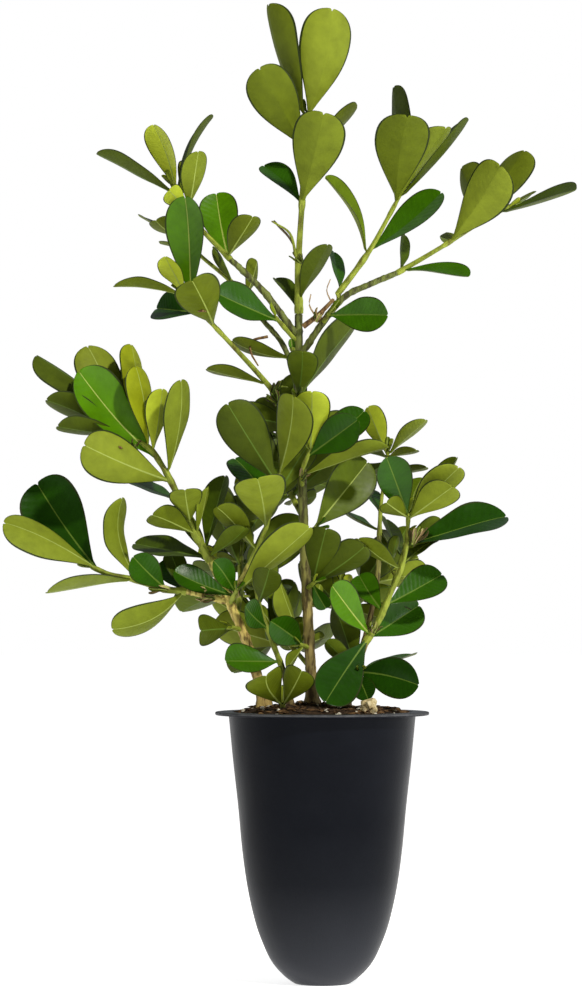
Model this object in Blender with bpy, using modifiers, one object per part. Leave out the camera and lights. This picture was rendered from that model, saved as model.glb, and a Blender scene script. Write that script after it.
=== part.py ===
"""A young boxwood in a tall round nursery liner pot: pot, potting mix, stems, boughs and masses of foliage.

Units are millimetres until a mesh is made, and +Z is up. The origin is the centre of the pot's flat
underside. -Y is the plant's front. Each mass of foliage is a stem with leaf pairs set on it and side twigs
grown from it by a seeded rule; a leaf that would cross a limb, a twig or another leaf is swung a little
aside, and left out if no swing clears it.
"""

import math
import random

import bmesh
import bpy
from mathutils import Matrix, Vector
from mathutils.bvhtree import BVHTree

MM = 0.001
FRONT = Vector((0, -1, 0))
UP = Vector((0, 0, 1))

# Pot: a thin moulded shell with a flat lip, narrowing to a rounded foot with a small flat underside.
POT_HEIGHT = 72.0
LIP_RADIUS = 28.5
LIP_THICKNESS = 0.9
WALL = 1.0
FLOOR = 1.4
POT_OUTLINE = [(25.0, 72.0), (23.8, 59.6), (22.4, 47.0), (21.3, 35.4), (19.9, 25.5)]
POT_FOOT = [(18.0, 16.9), (16.2, 11.5), (13.8, 6.3), (11.4, 3.2), (9.2, 1.2), (7.4, 0.0)]
ROUND_STEPS = 24
DRAIN_HOLES = 4
DRAIN_RADIUS = 1.4
DRAIN_RING = 4.6

# Potting mix: fills the pot, level in the middle and sloping down to the wall.
SEAT_GAP = 0.3
SOIL_TOP = 72.9
SOIL_LEVEL_RADIUS = 19.5
SOIL_EDGE_DROP = 1.8

# Leaves: spoon-shaped blades, widest at about two thirds of their length, with a blunt round tip.
LEAF_WIDTH = 0.49
LEAF_THICKNESS = 0.45
LEAF_WIDEST = 0.7
LEAF_TIP = 0.42
PETIOLE_WIDTH = 0.9
PETIOLE_THICKNESS = 0.6
LEAF_SEAT = 0.35
LEAF_SECTIONS = (0.0, 0.36, LEAF_WIDEST, 1.0)
CLEARANCE = 0.35
SELF_CLEARANCE = 0.1
FREE_SHARE = 0.3
LOWEST_LEAF = SOIL_TOP + 0.5
CUPS = (0.15, 0.4)
BOWS = (-0.06, 0.03)
SWINGS = (0, 5, -5, 10, -10, 16, -16, 23, -23, 30, -30)
SHRINKS = (1, 0.92, 0.84)
DEPTH_WEIGHT = 0.3
PATH_STEP = 7.0

# Limbs: carrier and share of its length where the limb starts, the points it runs through, and its
# radius at the start and at the end. "soil" carries the stems that stand in the potting mix.
LIMBS = {
    "main_stem": ("soil", 0, [(-2.6, 0, 73), (-3.4, 0, 90), (-4.6, 0, 113), (-5.4, 0, 134),
                              (-6.4, 0, 157), (-6.2, 0, 178)], 1.45, 1.05),
    "left_stem": ("soil", 0, [(-15.5, -1, 73), (-17.7, -2, 83), (-20.6, -4, 92), (-24.6, -5, 101),
                              (-27.2, -6, 107), (-29.6, -7, 112)], 1.5, 1.0),
    "right_stem": ("soil", 0, [(6, 1, 73), (8, 0.5, 81), (11.4, 0, 90)], 1.3, 0.95),
    "front_stem": ("soil", 0, [(-8.6, -6, 73), (-10, -7, 82)], 0.9, 0.8),
    "upper_left_bough": ("main_stem", 0.95, [(-15.6, -2, 184), (-24.4, -4, 192.4)], 1.0, 0.8),
    "left_back_bough": ("main_stem", 0.86, [(-11, 2, 171), (-16, 4, 177)], 0.75, 0.65),
    "upper_right_bough": ("main_stem", 0.9, [(0, -1.5, 175.5), (6, -3, 182.5), (20, -2, 189)], 0.95, 0.75),
    "left_low_bough": ("left_stem", 0.72, [(-31, -7, 103), (-36, -7, 104)], 0.95, 0.8),
    "inner_left_bough": ("left_stem", 0.76, [(-21.5, -7, 107), (-19.5, -7, 111)], 0.75, 0.65),
    "right_back_bough": ("right_stem", 0.55, [(12, 6, 93), (15, 8, 108), (15.5, 10, 119)], 0.8, 0.65),
}
ROOT_FLARE = {"main_stem": 1.75, "left_stem": 1.6, "right_stem": 1.6, "front_stem": 1.4}
FLARE_HEIGHT = 8.0
FOOT_RISE = 1.5

# Masses of foliage whose leaves are set by hand: carrier and share, the stem's points, its radius at both
# ends, the number of side twigs behind it, and its leaves. A leaf is (share of the stem, reach to the
# right, reach upwards, length, +1 if it leans to the front or -1 to the back, how much of its upper side
# the front sees: 1 all, 0 its edge, -1 its underside).
SET_MASSES = {
    "left_fork_tuft": ("left_stem", 0.70, [(-22.5, -12.5, 104.5)], 0.65, 0.55, 0, [
        (0.9, 19.5, 16.5, 26.5, 1, -0.6), (0.8, -5, 8, 14, 1, 0.6), (0.5, -15, 6.5, 17, -1, 0.75)]),
    "top_spray": ("main_stem", 1.0, [(-6.3, -1, 192), (-5.4, -2, 207), (-4.7, -2, 222), (-4, -2, 232)], 1.0, 0.6, 0, [
        (0.98, -10.3, 29.8, 32, 1, -0.38), (0.98, 6.8, 28.3, 30, 1, -0.9), (0.83, -12, 20, 26, 1, -0.9),
        (0.83, 14.1, 12.4, 20, -1, -0.3), (0.56, 5.6, 21.4, 28.5, 1, -0.9), (0.56, -10.2, 10.8, 16.5, -1, 0.75),
        (0.30, -7.5, 9, 12.5, -1, 0), (0.08, 7.5, 14, 18, 1, -0.55), (0.03, -6, 9.3, 12.5, -1, 0.6)]),
    "upper_right_spray": ("upper_right_bough", 0.45, [(9.3, -3.5, 190), (13.4, -4, 196), (21, -4, 210)], 0.9, 0.5, 0, [
        (0.94, 2.2, 20.2, 29.2, 1, -1.0), (0.94, -0.6, 31.6, 32, -1, -0.3), (0.98, 19, 21, 28.5, -1, 0.1),
        (0.98, 12, 16.8, 25, 1, -0.45), (0.47, 19.2, 15.8, 25, -1, 0.62), (0.43, -11, 19.5, 24, 1, 0.3),
        (0.06, -1.6, 10.8, 13, -1, 0.5)]),
    "right_side_spray": ("upper_right_bough", 1.0, [(27, -2, 193), (34, -1, 197.3), (44, 0, 203.7), (50, 0, 207)],
                         0.7, 0.45, 0, [
        (0.93, 19.5, 4.5, 23.5, 1, 0.28), (0.98, 8, 5.6, 12, -1, 0), (0.81, 11, 19.4, 23.2, -1, -0.75),
        (0.80, -5.8, 16, 22, -1, -0.5), (0.49, 12.8, 18.4, 27, 1, -0.8), (0.49, -0.9, 4.6, 13, -1, -0.4),
        (0.06, 17.2, -3.0, 19, 1, 0.42), (0.05, 0.9, 10, 12, -1, 0.42)]),
    "upper_left_spray": ("upper_left_bough", 1.0, [(-31, -6, 199), (-35, -7, 204), (-40, -8, 212)], 0.7, 0.45, 0, [
        (0.93, -5.8, 16.9, 19, 1, 0.65), (0.90, -20.8, 11.1, 24, 1, -0.25), (0.93, 8.8, 21.4, 24, -1, 0.14),
        (0.71, 2.7, 14.5, 17, 1, -0.65), (0.86, 2, 10, 14, -1, -0.5), (0.69, -5, 4.5, 12, 1, -0.6),
        (0.05, -3.4, 18.3, 21.5, -1, 0.95), (0.05, 6.8, 9, 16.5, 1, -0.55)]),
    "left_back_spray": ("left_back_bough", 1.0, [(-24, 6, 187), (-32, 8, 194), (-40, 9, 202)], 0.65, 0.45, 0, [
        (0.93, -6.4, 3, 13.5, 1, -0.35), (0.90, -12, 7.7, 16.5, -1, 0.15),
        (0.80, -9, 2, 11, -1, 0.1), (0.40, -4.4, 8, 12, 1, -0.3), (0.23, 3.2, 10.6, 13, -1, -0.5)]),
    "left_front_spray": ("main_stem", 0.72, [(-11.6, -4, 155.5), (-18.6, -7, 163.5), (-29.2, -11, 174.7),
                                             (-37, -12, 183)], 0.8, 0.5, 0, [
        (0.94, -0.6, 27, 27.5, -1, 0.8), (0.99, -18.3, 2.2, 19.5, 1, -0.22), (0.99, -5, 8.9, 13.5, 1, 0.6),
        (0.85, -12.6, 2.3, 16.5, -1, 0.7), (0.75, -5.3, 10.3, 25, 1, -0.9), (0.28, -15.8, 3.5, 17, 1, -0.3)]),
    "left_top_spray": ("left_stem", 1.0, [(-34, -8, 120), (-40, -10, 133), (-46, -10, 142), (-54, -10, 147)],
                       1.1, 0.55, 0, [
        (0.71, -20, 23, 31, 1, 0.9), (0.55, -22, 9, 26.5, 1, -0.95), (0.60, 4.1, 24.2, 26, 1, -0.45),
        (0.97, -10, 23.4, 26, -1, -0.85), (0.99, -23.4, 18.8, 30, 1, -0.36), (0.99, -20.4, 11, 23.5, 1, -0.6),
        (0.97, -17, 1.6, 19, 1, -0.45), (0.81, -4.2, 27.3, 28, -1, -0.4), (0.80, -3, 21, 21.5, 1, -0.6),
        (0.82, -3.8, 24.2, 26, -1, 0.25), (0.76, 2.5, 16.5, 17, 1, -0.7), (0.97, -9.5, 19.5, 23, -1, 0.35),
        (0.42, -14.4, 6.2, 18.5, -1, 0.3), (0.27, -1, 8.5, 18, 1, -0.9), (0.20, -11, 5, 17, 1, -0.6),
        (0.20, 2.7, 12, 14, 1, -0.3), (0.08, 5, 20, 21, -1, 0.6), (0.04, 10, 7, 15, 1, -0.5),
        (0.03, -20, 4, 22, -1, 0.5), (0.03, -5.6, 12, 14.5, -1, -0.5)]),
    "far_left_spray": ("left_low_bough", 1.0, [(-42, -7, 104.6), (-50, -8, 107.2), (-56, -8, 108.4), (-61, -8, 110.4)],
                       0.95, 0.6, 0, [
        (0.98, -16.7, 23, 31, -1, 0.97), (0.98, -23.4, 12.3, 27.8, 1, -0.6), (0.58, -22, -3.8, 24, 1, -0.18),
        (0.55, -4.6, 21.4, 22, 1, -0.5), (0.22, -8.5, 8.6, 17, 1, 0.8), (0.04, -18.4, -10.2, 22, 1, -0.65),
        (0.05, -5, 8, 14, -1, 0.8), (0.04, 3, 9.5, 15.5, -1, 0.8)]),
    "inner_left_spray": ("inner_left_bough", 1.0, [(-17, -8, 116), (-14.5, -9, 122), (-13, -10, 128), (-11, -11, 136)],
                         0.6, 0.45, 1, [
        (0.97, 4, 20, 25, 1, -0.7), (0.88, -13, 20.7, 25.5, 1, -0.95), (0.66, -10, 13, 20, -1, 0.7),
        (0.43, -2, 12, 28, 1, -0.9), (0.18, -10, 11, 18, 1, -0.7)]),
    "middle_spray": ("main_stem", 0.56, [(-5.5, -5, 135.5), (-4, -8, 139.5), (-2.5, -9, 142.5)], 0.6, 0.5, 0, [
        (0.83, 15, 12, 21, -1, 0.8), (0.80, 13, 9, 20, 1, 0.8), (0.95, 0.3, 15, 20, 1, -0.9),
        (0.30, 22.5, 8, 25, 1, -0.3), (0.92, -4, 15, 18, 1, -0.3)]),
    "left_fork_collar": ("main_stem", 0.93, [(-12.4, -3.6, 177)], 0.6, 0.55, 0, [
        (0.9, -16.6, 6.4, 21, 1, 0.75)]),
    "right_fork_tuft": ("upper_right_bough", 0.25, [(2, -5, 178)], 0.6, 0.55, 0, [
        (0.9, 15.2, -0.9, 19.2, 1, 0.9)]),
    "upper_collar": ("main_stem", 0.86, [(-7.5, -4.5, 167)], 0.6, 0.55, 0, [
        (0.8, -17, 4.1, 19, 1, -0.35)]),
    "mid_collar": ("main_stem", 0.77, [(-6.5, -5, 156)], 0.6, 0.55, 0, [
        (0.9, 1.2, 11.5, 17, 1, -0.85), (0.7, 16.6, 21.8, 28.5, -1, -0.45)]),
    "right_upper_tuft": ("main_stem", 0.44, [(-1.5, -3, 121)], 0.6, 0.55, 0, [
        (0.9, 15, 18.5, 26, -1, 0.9)]),
    "right_mid_tuft": ("main_stem", 0.3, [(-2, -4.5, 106.5)], 0.6, 0.55, 0, [
        (0.9, 3.5, 14.5, 21, 1, -0.85), (0.8, 13, 10, 21, 1, -0.7), (0.7, 2.5, -6, 11, -1, 0.8)]),
    "left_low_tuft": ("main_stem", 0.15, [(-6, -4, 90)], 0.6, 0.55, 0, [
        (0.9, -6, 16, 18, 1, -0.5), (0.8, -8, 6, 17, 1, 0.6), (0.7, -9, 2, 15, -1, -0.2),
        (0.6, -5.5, -6, 11, 1, -0.5)]),
    "right_stem_spray": ("right_stem", 1.0, [(15, 0, 96), (18, -1, 103), (21, -2, 110), (22.5, -2, 117), (23, -2, 125)],
                         0.9, 0.5, 1, [
        (0.05, -12.5, -18, 27.5, 1, 0.97), (0.78, 27, 8.5, 29, -1, 0.6), (0.99, -6, 15, 20, 1, 0.8),
        (0.99, 12.8, 12.8, 21, 1, -0.7), (0.97, 11, 8, 20, 1, -0.6), (0.98, 13.4, 15.8, 21, -1, 0.3),
        (0.98, -6, 3.5, 13, 1, -0.5), (0.32, 15.6, 8.4, 20.5, -1, 0.8), (0.06, 13.8, 8.5, 21, -1, 0.8),
        (0.08, -10, 13, 20, 1, 0.7), (0.61, -11.5, 8, 18, 1, -0.4), (0.63, 9, 7.5, 15, -1, 0.4),
        (0.27, -3, 9, 18, -1, 0.7), (0.99, 4, 11, 15, -1, 0.6)]),
    "right_back_spray": ("right_back_bough", 1.0, [(16, 11, 127), (17, 12, 135), (18, 12, 142)], 0.6, 0.4, 0, [
        (0.98, -5.2, 13.2, 15, -1, -0.8), (0.98, 10.2, 8.8, 14.5, 1, -0.4), (0.95, 7.5, 1.5, 11, 1, -0.3),
        (0.95, -8, 2, 12, 1, -0.3), (0.74, 11, 2, 13, 1, -0.3), (0.29, -4, 7, 13, -1, 0.4),
        (0.08, -10, 5, 14, -1, 0.1), (0.9, -6.5, -3.5, 11, -1, -0.5), (0.1, 4, -5.5, 11, -1, 0.3)]),
    "centre_spray": ("front_stem", 1.0, [(-13, -8, 90), (-16, -8, 98), (-17.5, -8, 104)], 0.75, 0.55, 1, [
        (0.90, 3, 9, 16, 1, -0.6), (0.58, -6, 6, 15, 1, 0.5), (0.41, 3, 14, 18, -1, -0.5),
        (0.17, -14, 0.5, 19, 1, 0.6)]),
    "front_foot_tuft": ("soil", 0, [(-10.5, -12, 73), (-10.5, -12, 75)], 0.7, 0.6, 0, [
        (0.8, -4.4, 8.6, 19, 1, -0.95), (0.8, 5, 9.4, 19, 1, -0.88)]),
    "right_foot_tuft": ("right_stem", 0.5, [(9.5, -3.5, 83)], 0.6, 0.55, 0, [
        (0.9, 14.8, -3.0, 24, 1, 1.0), (0.8, 15.5, 4.5, 20, -1, 0.1), (0.7, -7, 18, 20.5, -1, -0.75),
        (0.6, 3, -7, 12.5, 1, 0.9), (0.7, -8, 8.5, 13.5, 1, -0.7)]),
    "left_stem_tuft": ("left_stem", 0.52, [(-24, -8.5, 94.5)], 0.6, 0.55, 0, [
        (0.8, -9, -0.5, 17, 1, -0.9)]),
}

# Masses grown wholly by the rule: carrier and share, the stem's points, its radius at both ends, leaf
# pairs, longest and shortest leaf, compass bearing of the lowest pair in degrees, and side twigs.
GROWN_MASSES = {
    "back_upper_spray": ("main_stem", 0.70, [(-7, 10, 149), (-8, 19, 151), (-9, 25, 153)],
                         0.7, 0.45, 4, 18, 13, 50, 1),
    "back_middle_spray": ("main_stem", 0.48, [(-8, 12, 130), (-10, 25, 138), (-12, 35, 148)],
                          0.75, 0.5, 4, 24, 17, 9, 2),
    "back_left_spray": ("left_stem", 0.60, [(-22, 8, 104), (-22, 22, 114), (-21, 34, 126)],
                        0.75, 0.5, 4, 24, 17, 10, 2),
    "back_right_spray": ("main_stem", 0.26, [(4, 10, 101), (12, 22, 105), (18, 33, 111)],
                         0.75, 0.5, 4, 22, 15, 62, 2),
    "back_low_spray": ("main_stem", 0.10, [(-9, 11, 90), (-14, 23, 93), (-18, 33, 98)],
                       0.7, 0.5, 4, 22, 15, 70, 1),
}
RULE_SEED = 59
BEARING_JITTER = 14
ROLL_JITTER = 22
LOW_SPREAD = 62
TIP_SPREAD = 30
TWIG_BEARING = 25
TWIG_LENGTH = (7, 11)
TWIG_RADIUS = (0.5, 0.4)
TWIG_LEAF = (17, 14)
TWIG_PAIRS = 1
TWIG_SPREAD = 38

COLOURS = {
    "pot": ((0.012, 0.014, 0.019), 0.42),
    "potting_mix": ((0.06, 0.035, 0.02), 0.95),
    "bark": ((0.36, 0.28, 0.12), 0.8),
    "foliage": ((0.12, 0.22, 0.02), 0.4),
}


# ---- The rule: paths, leaves and the test that keeps them apart ----


def smooth_path(points):
    """Points about PATH_STEP apart on a smooth curve through these points."""
    points = [Vector(p) for p in points]
    ends = [points[0] * 2 - points[1], *points, points[-1] * 2 - points[-2]]
    path = []
    for before, start, end, after in zip(ends, ends[1:], ends[2:], ends[3:]):
        steps = max(1, round((end - start).length / PATH_STEP))
        for step in range(steps):
            t = step / steps
            path.append(0.5 * (2 * start + (end - before) * t
                               + (2 * before - 5 * start + 4 * end - after) * t**2
                               + (3 * start - before - 3 * end + after) * t**3))
    return [*path, points[-1]]


def place_on(path, share):
    """Point and direction at a share of a path's length."""
    lengths = [(b - a).length for a, b in zip(path, path[1:])]
    left = share * sum(lengths)
    for a, b, length in zip(path, path[1:], lengths):
        if left <= length + 1e-9:
            return a.lerp(b, left / length), (b - a).normalized()
        left -= length
    return path[-1], (path[-1] - path[-2]).normalized()


def rooted_path(carrier, share, points, radius):
    """The path of a limb or mass, from a cut face that stands SEAT_GAP clear of what carries it."""
    if carrier == "soil":
        foot = Vector((points[0][0], points[0][1], SOIL_TOP + SEAT_GAP))
        return [foot, *smooth_path([foot + UP * FOOT_RISE, *points[1:]])]
    path, thick = carrier
    spot, along = place_on(path, share)
    if share == 1:
        return smooth_path([spot + along * SEAT_GAP, *points])
    out = (Vector(points[0]) - spot).normalized()
    level = (out - along * out.dot(along)).normalized()
    lean = out.dot(along)
    reach = (thick[0] + (thick[1] - thick[0]) * share) + SEAT_GAP + radius * abs(lean)
    return smooth_path([spot + level * reach + along * reach * lean, *points])


def facing_normal(direction, axis, facing):
    """Normal of a leaf's upper side: towards its shoot's tip, rolled until the front sees facing of it."""
    normal = (axis - direction * axis.dot(direction)).normalized()
    across = direction.cross(normal)
    ahead, aside = normal.dot(FRONT), across.dot(FRONT)
    reach = math.hypot(ahead, aside)
    if reach < 1e-6:
        return normal
    swing = math.acos(max(-1, min(1, facing / reach)))
    rolls = [math.remainder(math.atan2(aside, ahead) + turn, math.tau) for turn in (swing, -swing)]
    roll = min(rolls, key=abs)
    return normal * math.cos(roll) + across * math.sin(roll)


def swung(leaf, sideways, upwards, size):
    """The leaf turned about its base and scaled."""
    base, direction, normal, length, cup, bow = leaf
    turn = Matrix.Rotation(math.radians(sideways), 3, normal)
    lift = Matrix.Rotation(math.radians(upwards), 3, direction.cross(normal))
    return base, lift @ turn @ direction, lift @ normal, length * size, cup, bow


def half_width(share):
    """Half width of a blade at a share of its length, where the widest place is 1."""
    if share <= LEAF_WIDEST:
        return math.sin(0.5 * math.pi * (share / LEAF_WIDEST) ** 1.25)
    beyond = (share - LEAF_WIDEST) / (1 - LEAF_WIDEST)
    return max(LEAF_TIP, math.sqrt(max(0, 1 - beyond**2.6)))


def blade(leaf, grow=0.0, start=0.0):
    """Points and faces of a leaf: a three-sided stalk, two flat diamond sections and a blunt wedge of a tip."""
    base, direction, normal, length, cup, bow = leaf
    across = direction.cross(normal)
    points = []
    for share in LEAF_SECTIONS:
        share = max(share, start)
        wide = max(PETIOLE_WIDTH, half_width(share) * length * LEAF_WIDTH) / 2 + grow
        stalk = max(0, 1 - share / LEAF_SECTIONS[1])
        thick = (LEAF_THICKNESS + (PETIOLE_THICKNESS - LEAF_THICKNESS) * stalk) / 2 + grow
        middle = base + direction * length * share + normal * length * bow * 4 * share * (1 - share)
        edge = normal * cup * wide * (1 - stalk)
        left, right = middle + across * wide + edge, middle - across * wide + edge
        upper, under = middle + normal * thick, middle - normal * thick
        if share == LEAF_SECTIONS[-1]:
            points += [left, right]
        elif stalk and not start:
            points += [left, upper, right]
        else:
            points += [left, upper, right, under]
    if start:
        return points, [(0, 1, 2, 3), *blade_faces(0), *tip_faces(4 * (len(LEAF_SECTIONS) - 2))]
    stalk_faces = [(0, 1, 2), (0, 3, 4), (0, 4, 1), (1, 4, 5), (1, 5, 2), (2, 5, 6), (2, 6, 0), (0, 6, 3)]
    return points, [*stalk_faces, *blade_faces(3), *tip_faces(7)]


def blade_faces(first):
    """The faces between two diamond sections."""
    sides = [(first + side, first + (side + 1) % 4) for side in range(4)]
    return [face for a, b in sides for face in ((a, a + 4, b + 4), (a, b + 4, b))]


def tip_faces(first):
    """The faces from a diamond section to the tip's two points."""
    left, upper, right, under, near, far = range(first, first + 6)
    return [(left, near, upper), (upper, near, far), (upper, far, right),
            (right, far, under), (under, far, near), (under, near, left)]


def tube_shape(path, radii, grow=0.0, sides=6):
    """Points and faces of a tapered tube, for the crossing test."""
    points, faces = [], []
    for index, spot in enumerate(path):
        ahead = path[min(index + 1, len(path) - 1)] - path[max(index - 1, 0)]
        turn = ahead.to_track_quat("Z", "Y")
        radius = radii[0] + (radii[1] - radii[0]) * index / (len(path) - 1) + grow
        for side in range(sides):
            angle = math.tau * side / sides
            points.append(spot + turn @ Vector((radius * math.cos(angle), radius * math.sin(angle), 0)))
    for index in range(len(path) - 1):
        for side in range(sides):
            a, b = index * sides + side, index * sides + (side + 1) % sides
            faces.append((a, b, b + sides, a + sides))
    return points, faces


class Space:
    """What is already taken, and by which mass."""

    def __init__(self):
        self.taken = []

    def add(self, owner, shape, tree=None):
        points, faces = shape
        middle = sum(points, Vector()) / len(points)
        reach = max((p - middle).length for p in points)
        self.taken.append((owner, middle, reach, tree or BVHTree.FromPolygons(points, faces)))

    def free(self, shape, but_owner=None, only_owner=None):
        points, faces = shape
        middle = sum(points, Vector()) / len(points)
        reach = max((p - middle).length for p in points)
        tree = BVHTree.FromPolygons(points, faces)
        for owner, there, far, other in self.taken:
            if owner == but_owner or (only_owner and owner != only_owner):
                continue
            if (there - middle).length < reach + far and tree.overlap(other):
                return False
        return True


def least_seen(leaf):
    """The leaf swung and shortened in every allowed way, those that move its tip least as seen first."""
    base, direction, _, length, _, _ = leaf
    tip = base + direction * length
    tried = [swung(leaf, sideways, upwards, size)
             for size in SHRINKS for sideways in SWINGS for upwards in SWINGS]

    def shift(turned):
        move = turned[0] + turned[1] * turned[3] - tip
        return math.hypot(move.x, move.z) + DEPTH_WEIGHT * abs(move.y)

    return sorted(tried, key=shift)


def settle(leaf, owner, space, blades):
    """The leaf, swung or shortened until it crosses nothing, or None."""
    for tried in least_seen(leaf):
        if min(p.z for p in blade(tried)[0]) < LOWEST_LEAF:
            continue
        if not space.free(blade(tried, CLEARANCE), but_owner=owner):
            continue
        if blades.free(blade(tried, SELF_CLEARANCE, FREE_SHARE), only_owner=owner):
            space.add(owner, blade(tried))
            blades.add(owner, blade(tried, 0.0, FREE_SHARE))
            return tried
    return None


def seated(spot, axis, direction, radius):
    """A leaf's base: inside its stem, a little off the axis on the leaf's own side."""
    out = (direction - axis * direction.dot(axis)).normalized()
    return spot - axis * radius + out * radius * LEAF_SEAT


def set_leaves(path, radii, rows, rng):
    """The leaves that a mass has set by hand."""
    for share, right, up, length, side, facing in rows:
        spot, axis = place_on(path, share)
        depth = math.sqrt(max(0, length**2 - right**2 - up**2))
        direction = Vector((right, -side * depth, up)).normalized()
        normal = facing_normal(direction, axis, facing)
        base = seated(spot, axis, direction, radii[1])
        yield base, direction, normal, length, rng.uniform(*CUPS), rng.uniform(*BOWS)


def paired_leaves(path, radii, pairs, longest, shortest, bearing, rng, low=0.3, low_spread=LOW_SPREAD):
    """Leaf pairs set crosswise up a shoot, each a quarter turn on from the pair below and more upright."""
    for pair in range(pairs):
        rise = pair / max(1, pairs - 1)
        spot, axis = place_on(path, low + (1 - low) * rise)
        level = axis.orthogonal().normalized()
        spread = math.radians(low_spread + (TIP_SPREAD - low_spread) * rise)
        length = longest + (shortest - longest) * rise
        turn = bearing + 90 * pair + rng.uniform(-BEARING_JITTER, BEARING_JITTER)
        for opposite in (0, 180):
            out = Matrix.Rotation(math.radians(turn + opposite), 3, axis) @ level
            direction = axis * math.cos(spread) + out * math.sin(spread)
            normal = (axis - direction * axis.dot(direction)).normalized()
            roll = math.radians(rng.uniform(-ROLL_JITTER, ROLL_JITTER))
            normal = Matrix.Rotation(roll, 3, direction) @ normal
            size = length * rng.uniform(0.9, 1.08)
            base = seated(spot, axis, direction, radii[1])
            yield base, direction, normal, size, rng.uniform(*CUPS), rng.uniform(*BOWS)


def side_twigs(path, count, rng):
    """Short twigs that leave a stem towards the plant's back, where nothing else fills the crown."""
    for index in range(count):
        spot, axis = place_on(path, (index + 0.6) / (count + 0.4))
        bearing = math.radians(rng.uniform(-TWIG_BEARING, TWIG_BEARING))
        back = Vector((math.sin(bearing), math.cos(bearing), 0.25))
        reach = rng.uniform(*TWIG_LENGTH)
        bend = spot + (back + axis * 0.5) * reach * 0.5
        yield smooth_path([spot, bend, spot + (back + axis) * reach])


def grow_masses(limbs, space):
    """Every mass as (tubes, leaves): the stems first, then the leaves of the set masses, then the rest."""
    blades = Space()
    masses = {}
    for name, row in [*SET_MASSES.items(), *GROWN_MASSES.items()]:
        carrier, share, points, thick, thin = row[:5]
        path = rooted_path(limbs.get(carrier, carrier), share, points, thick)
        space.add(name, tube_shape(path, (thick, thin), CLEARANCE))
        masses[name] = ([(path, (thick, thin))], [])
    rules = {name: random.Random(f"{RULE_SEED} {name}") for name in masses}
    for name, row in SET_MASSES.items():
        path, radii = masses[name][0][0]
        found = (settle(leaf, name, space, blades) for leaf in set_leaves(path, radii, row[6], rules[name]))
        masses[name][1].extend(leaf for leaf in found if leaf)
    for name, row in GROWN_MASSES.items():
        pairs, longest, shortest, bearing = row[5:9]
        path, radii = masses[name][0][0]
        grown = paired_leaves(path, radii, pairs, longest, shortest, bearing, rules[name])
        found = (settle(leaf, name, space, blades) for leaf in grown)
        masses[name][1].extend(leaf for leaf in found if leaf)
    for name, row in [*SET_MASSES.items(), *GROWN_MASSES.items()]:
        count = row[5] if name in SET_MASSES else row[9]
        rng = rules[name]
        for twig in side_twigs(masses[name][0][0][0], count, rng):
            bearing = rng.uniform(0, 90)
            grown = list(paired_leaves(twig, TWIG_RADIUS, TWIG_PAIRS, *TWIG_LEAF, bearing, rng, 0.9, TWIG_SPREAD))
            if not space.free(tube_shape(twig, TWIG_RADIUS, CLEARANCE), but_owner=name):
                continue
            if not blades.free(tube_shape(twig[1:], TWIG_RADIUS, SELF_CLEARANCE), only_owner=name):
                continue
            space.add(name, tube_shape(twig, TWIG_RADIUS, CLEARANCE))
            blades.add(name, tube_shape(twig[1:], TWIG_RADIUS))
            masses[name][0].append((twig, TWIG_RADIUS))
            found = (settle(leaf, name, space, blades) for leaf in grown)
            masses[name][1].extend(leaf for leaf in found if leaf)
    return masses


# ---- Solids ----


def clear_scene():
    for obj in list(bpy.data.objects):
        bpy.data.objects.remove(obj, do_unlink=True)


def material(name):
    colour, roughness = COLOURS[name]
    made = bpy.data.materials.get(name) or bpy.data.materials.new(name)
    made.use_nodes = True
    shader = made.node_tree.nodes["Principled BSDF"]
    shader.inputs["Base Color"].default_value = (*colour, 1)
    shader.inputs["Roughness"].default_value = roughness
    return made


def mesh_object(name, points, faces, collection):
    mesh = bpy.data.meshes.new(name)
    mesh.from_pydata([p * MM for p in points], [], faces)
    obj = bpy.data.objects.new(name, mesh)
    collection.objects.link(obj)
    return obj


def turned_object(name, profile, collection):
    """A profile in the XZ plane, turned about Z."""
    mesh = bpy.data.meshes.new(name)
    edges = [(i, i + 1) for i in range(len(profile) - 1)]
    mesh.from_pydata([(r * MM, 0, z * MM) for r, z in profile], edges, [])
    obj = bpy.data.objects.new(name, mesh)
    collection.objects.link(obj)
    screw = obj.modifiers.new("turn", "SCREW")
    screw.steps = screw.render_steps = ROUND_STEPS
    screw.use_merge_vertices = True
    screw.merge_threshold = 0.00001
    return obj


def limb_object(name, path, radii, collection, sides=2):
    """A tapered round limb with flat ends, as a mesh."""
    curve = bpy.data.curves.new(name, "CURVE")
    curve.dimensions = "3D"
    curve.bevel_depth = MM
    curve.bevel_resolution = sides
    curve.use_fill_caps = True
    spline = curve.splines.new("POLY")
    spline.points.add(len(path) - 1)
    for index, (point, spot) in enumerate(zip(spline.points, path)):
        point.co = (*(spot * MM), 1)
        above = min(1, (spot - path[0]).length / FLARE_HEIGHT)
        flare = 1 + (ROOT_FLARE.get(name, 1) - 1) * (1 - above) ** 2
        point.radius = flare * (radii[0] + (radii[1] - radii[0]) * index / (len(path) - 1))
    guide = bpy.data.objects.new(name + "_guide", curve)
    collection.objects.link(guide)
    made = bpy.data.meshes.new_from_object(guide.evaluated_get(bpy.context.evaluated_depsgraph_get()))
    bpy.data.objects.remove(guide, do_unlink=True)
    shaped = bmesh.new()
    shaped.from_mesh(made)
    bmesh.ops.remove_doubles(shaped, verts=shaped.verts, dist=0.000001)
    bmesh.ops.recalc_face_normals(shaped, faces=shaped.faces)
    bmesh.ops.triangulate(shaped, faces=shaped.faces)
    shaped.to_mesh(made)
    shaped.free()
    obj = bpy.data.objects.new(name, made)
    collection.objects.link(obj)
    return obj


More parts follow.
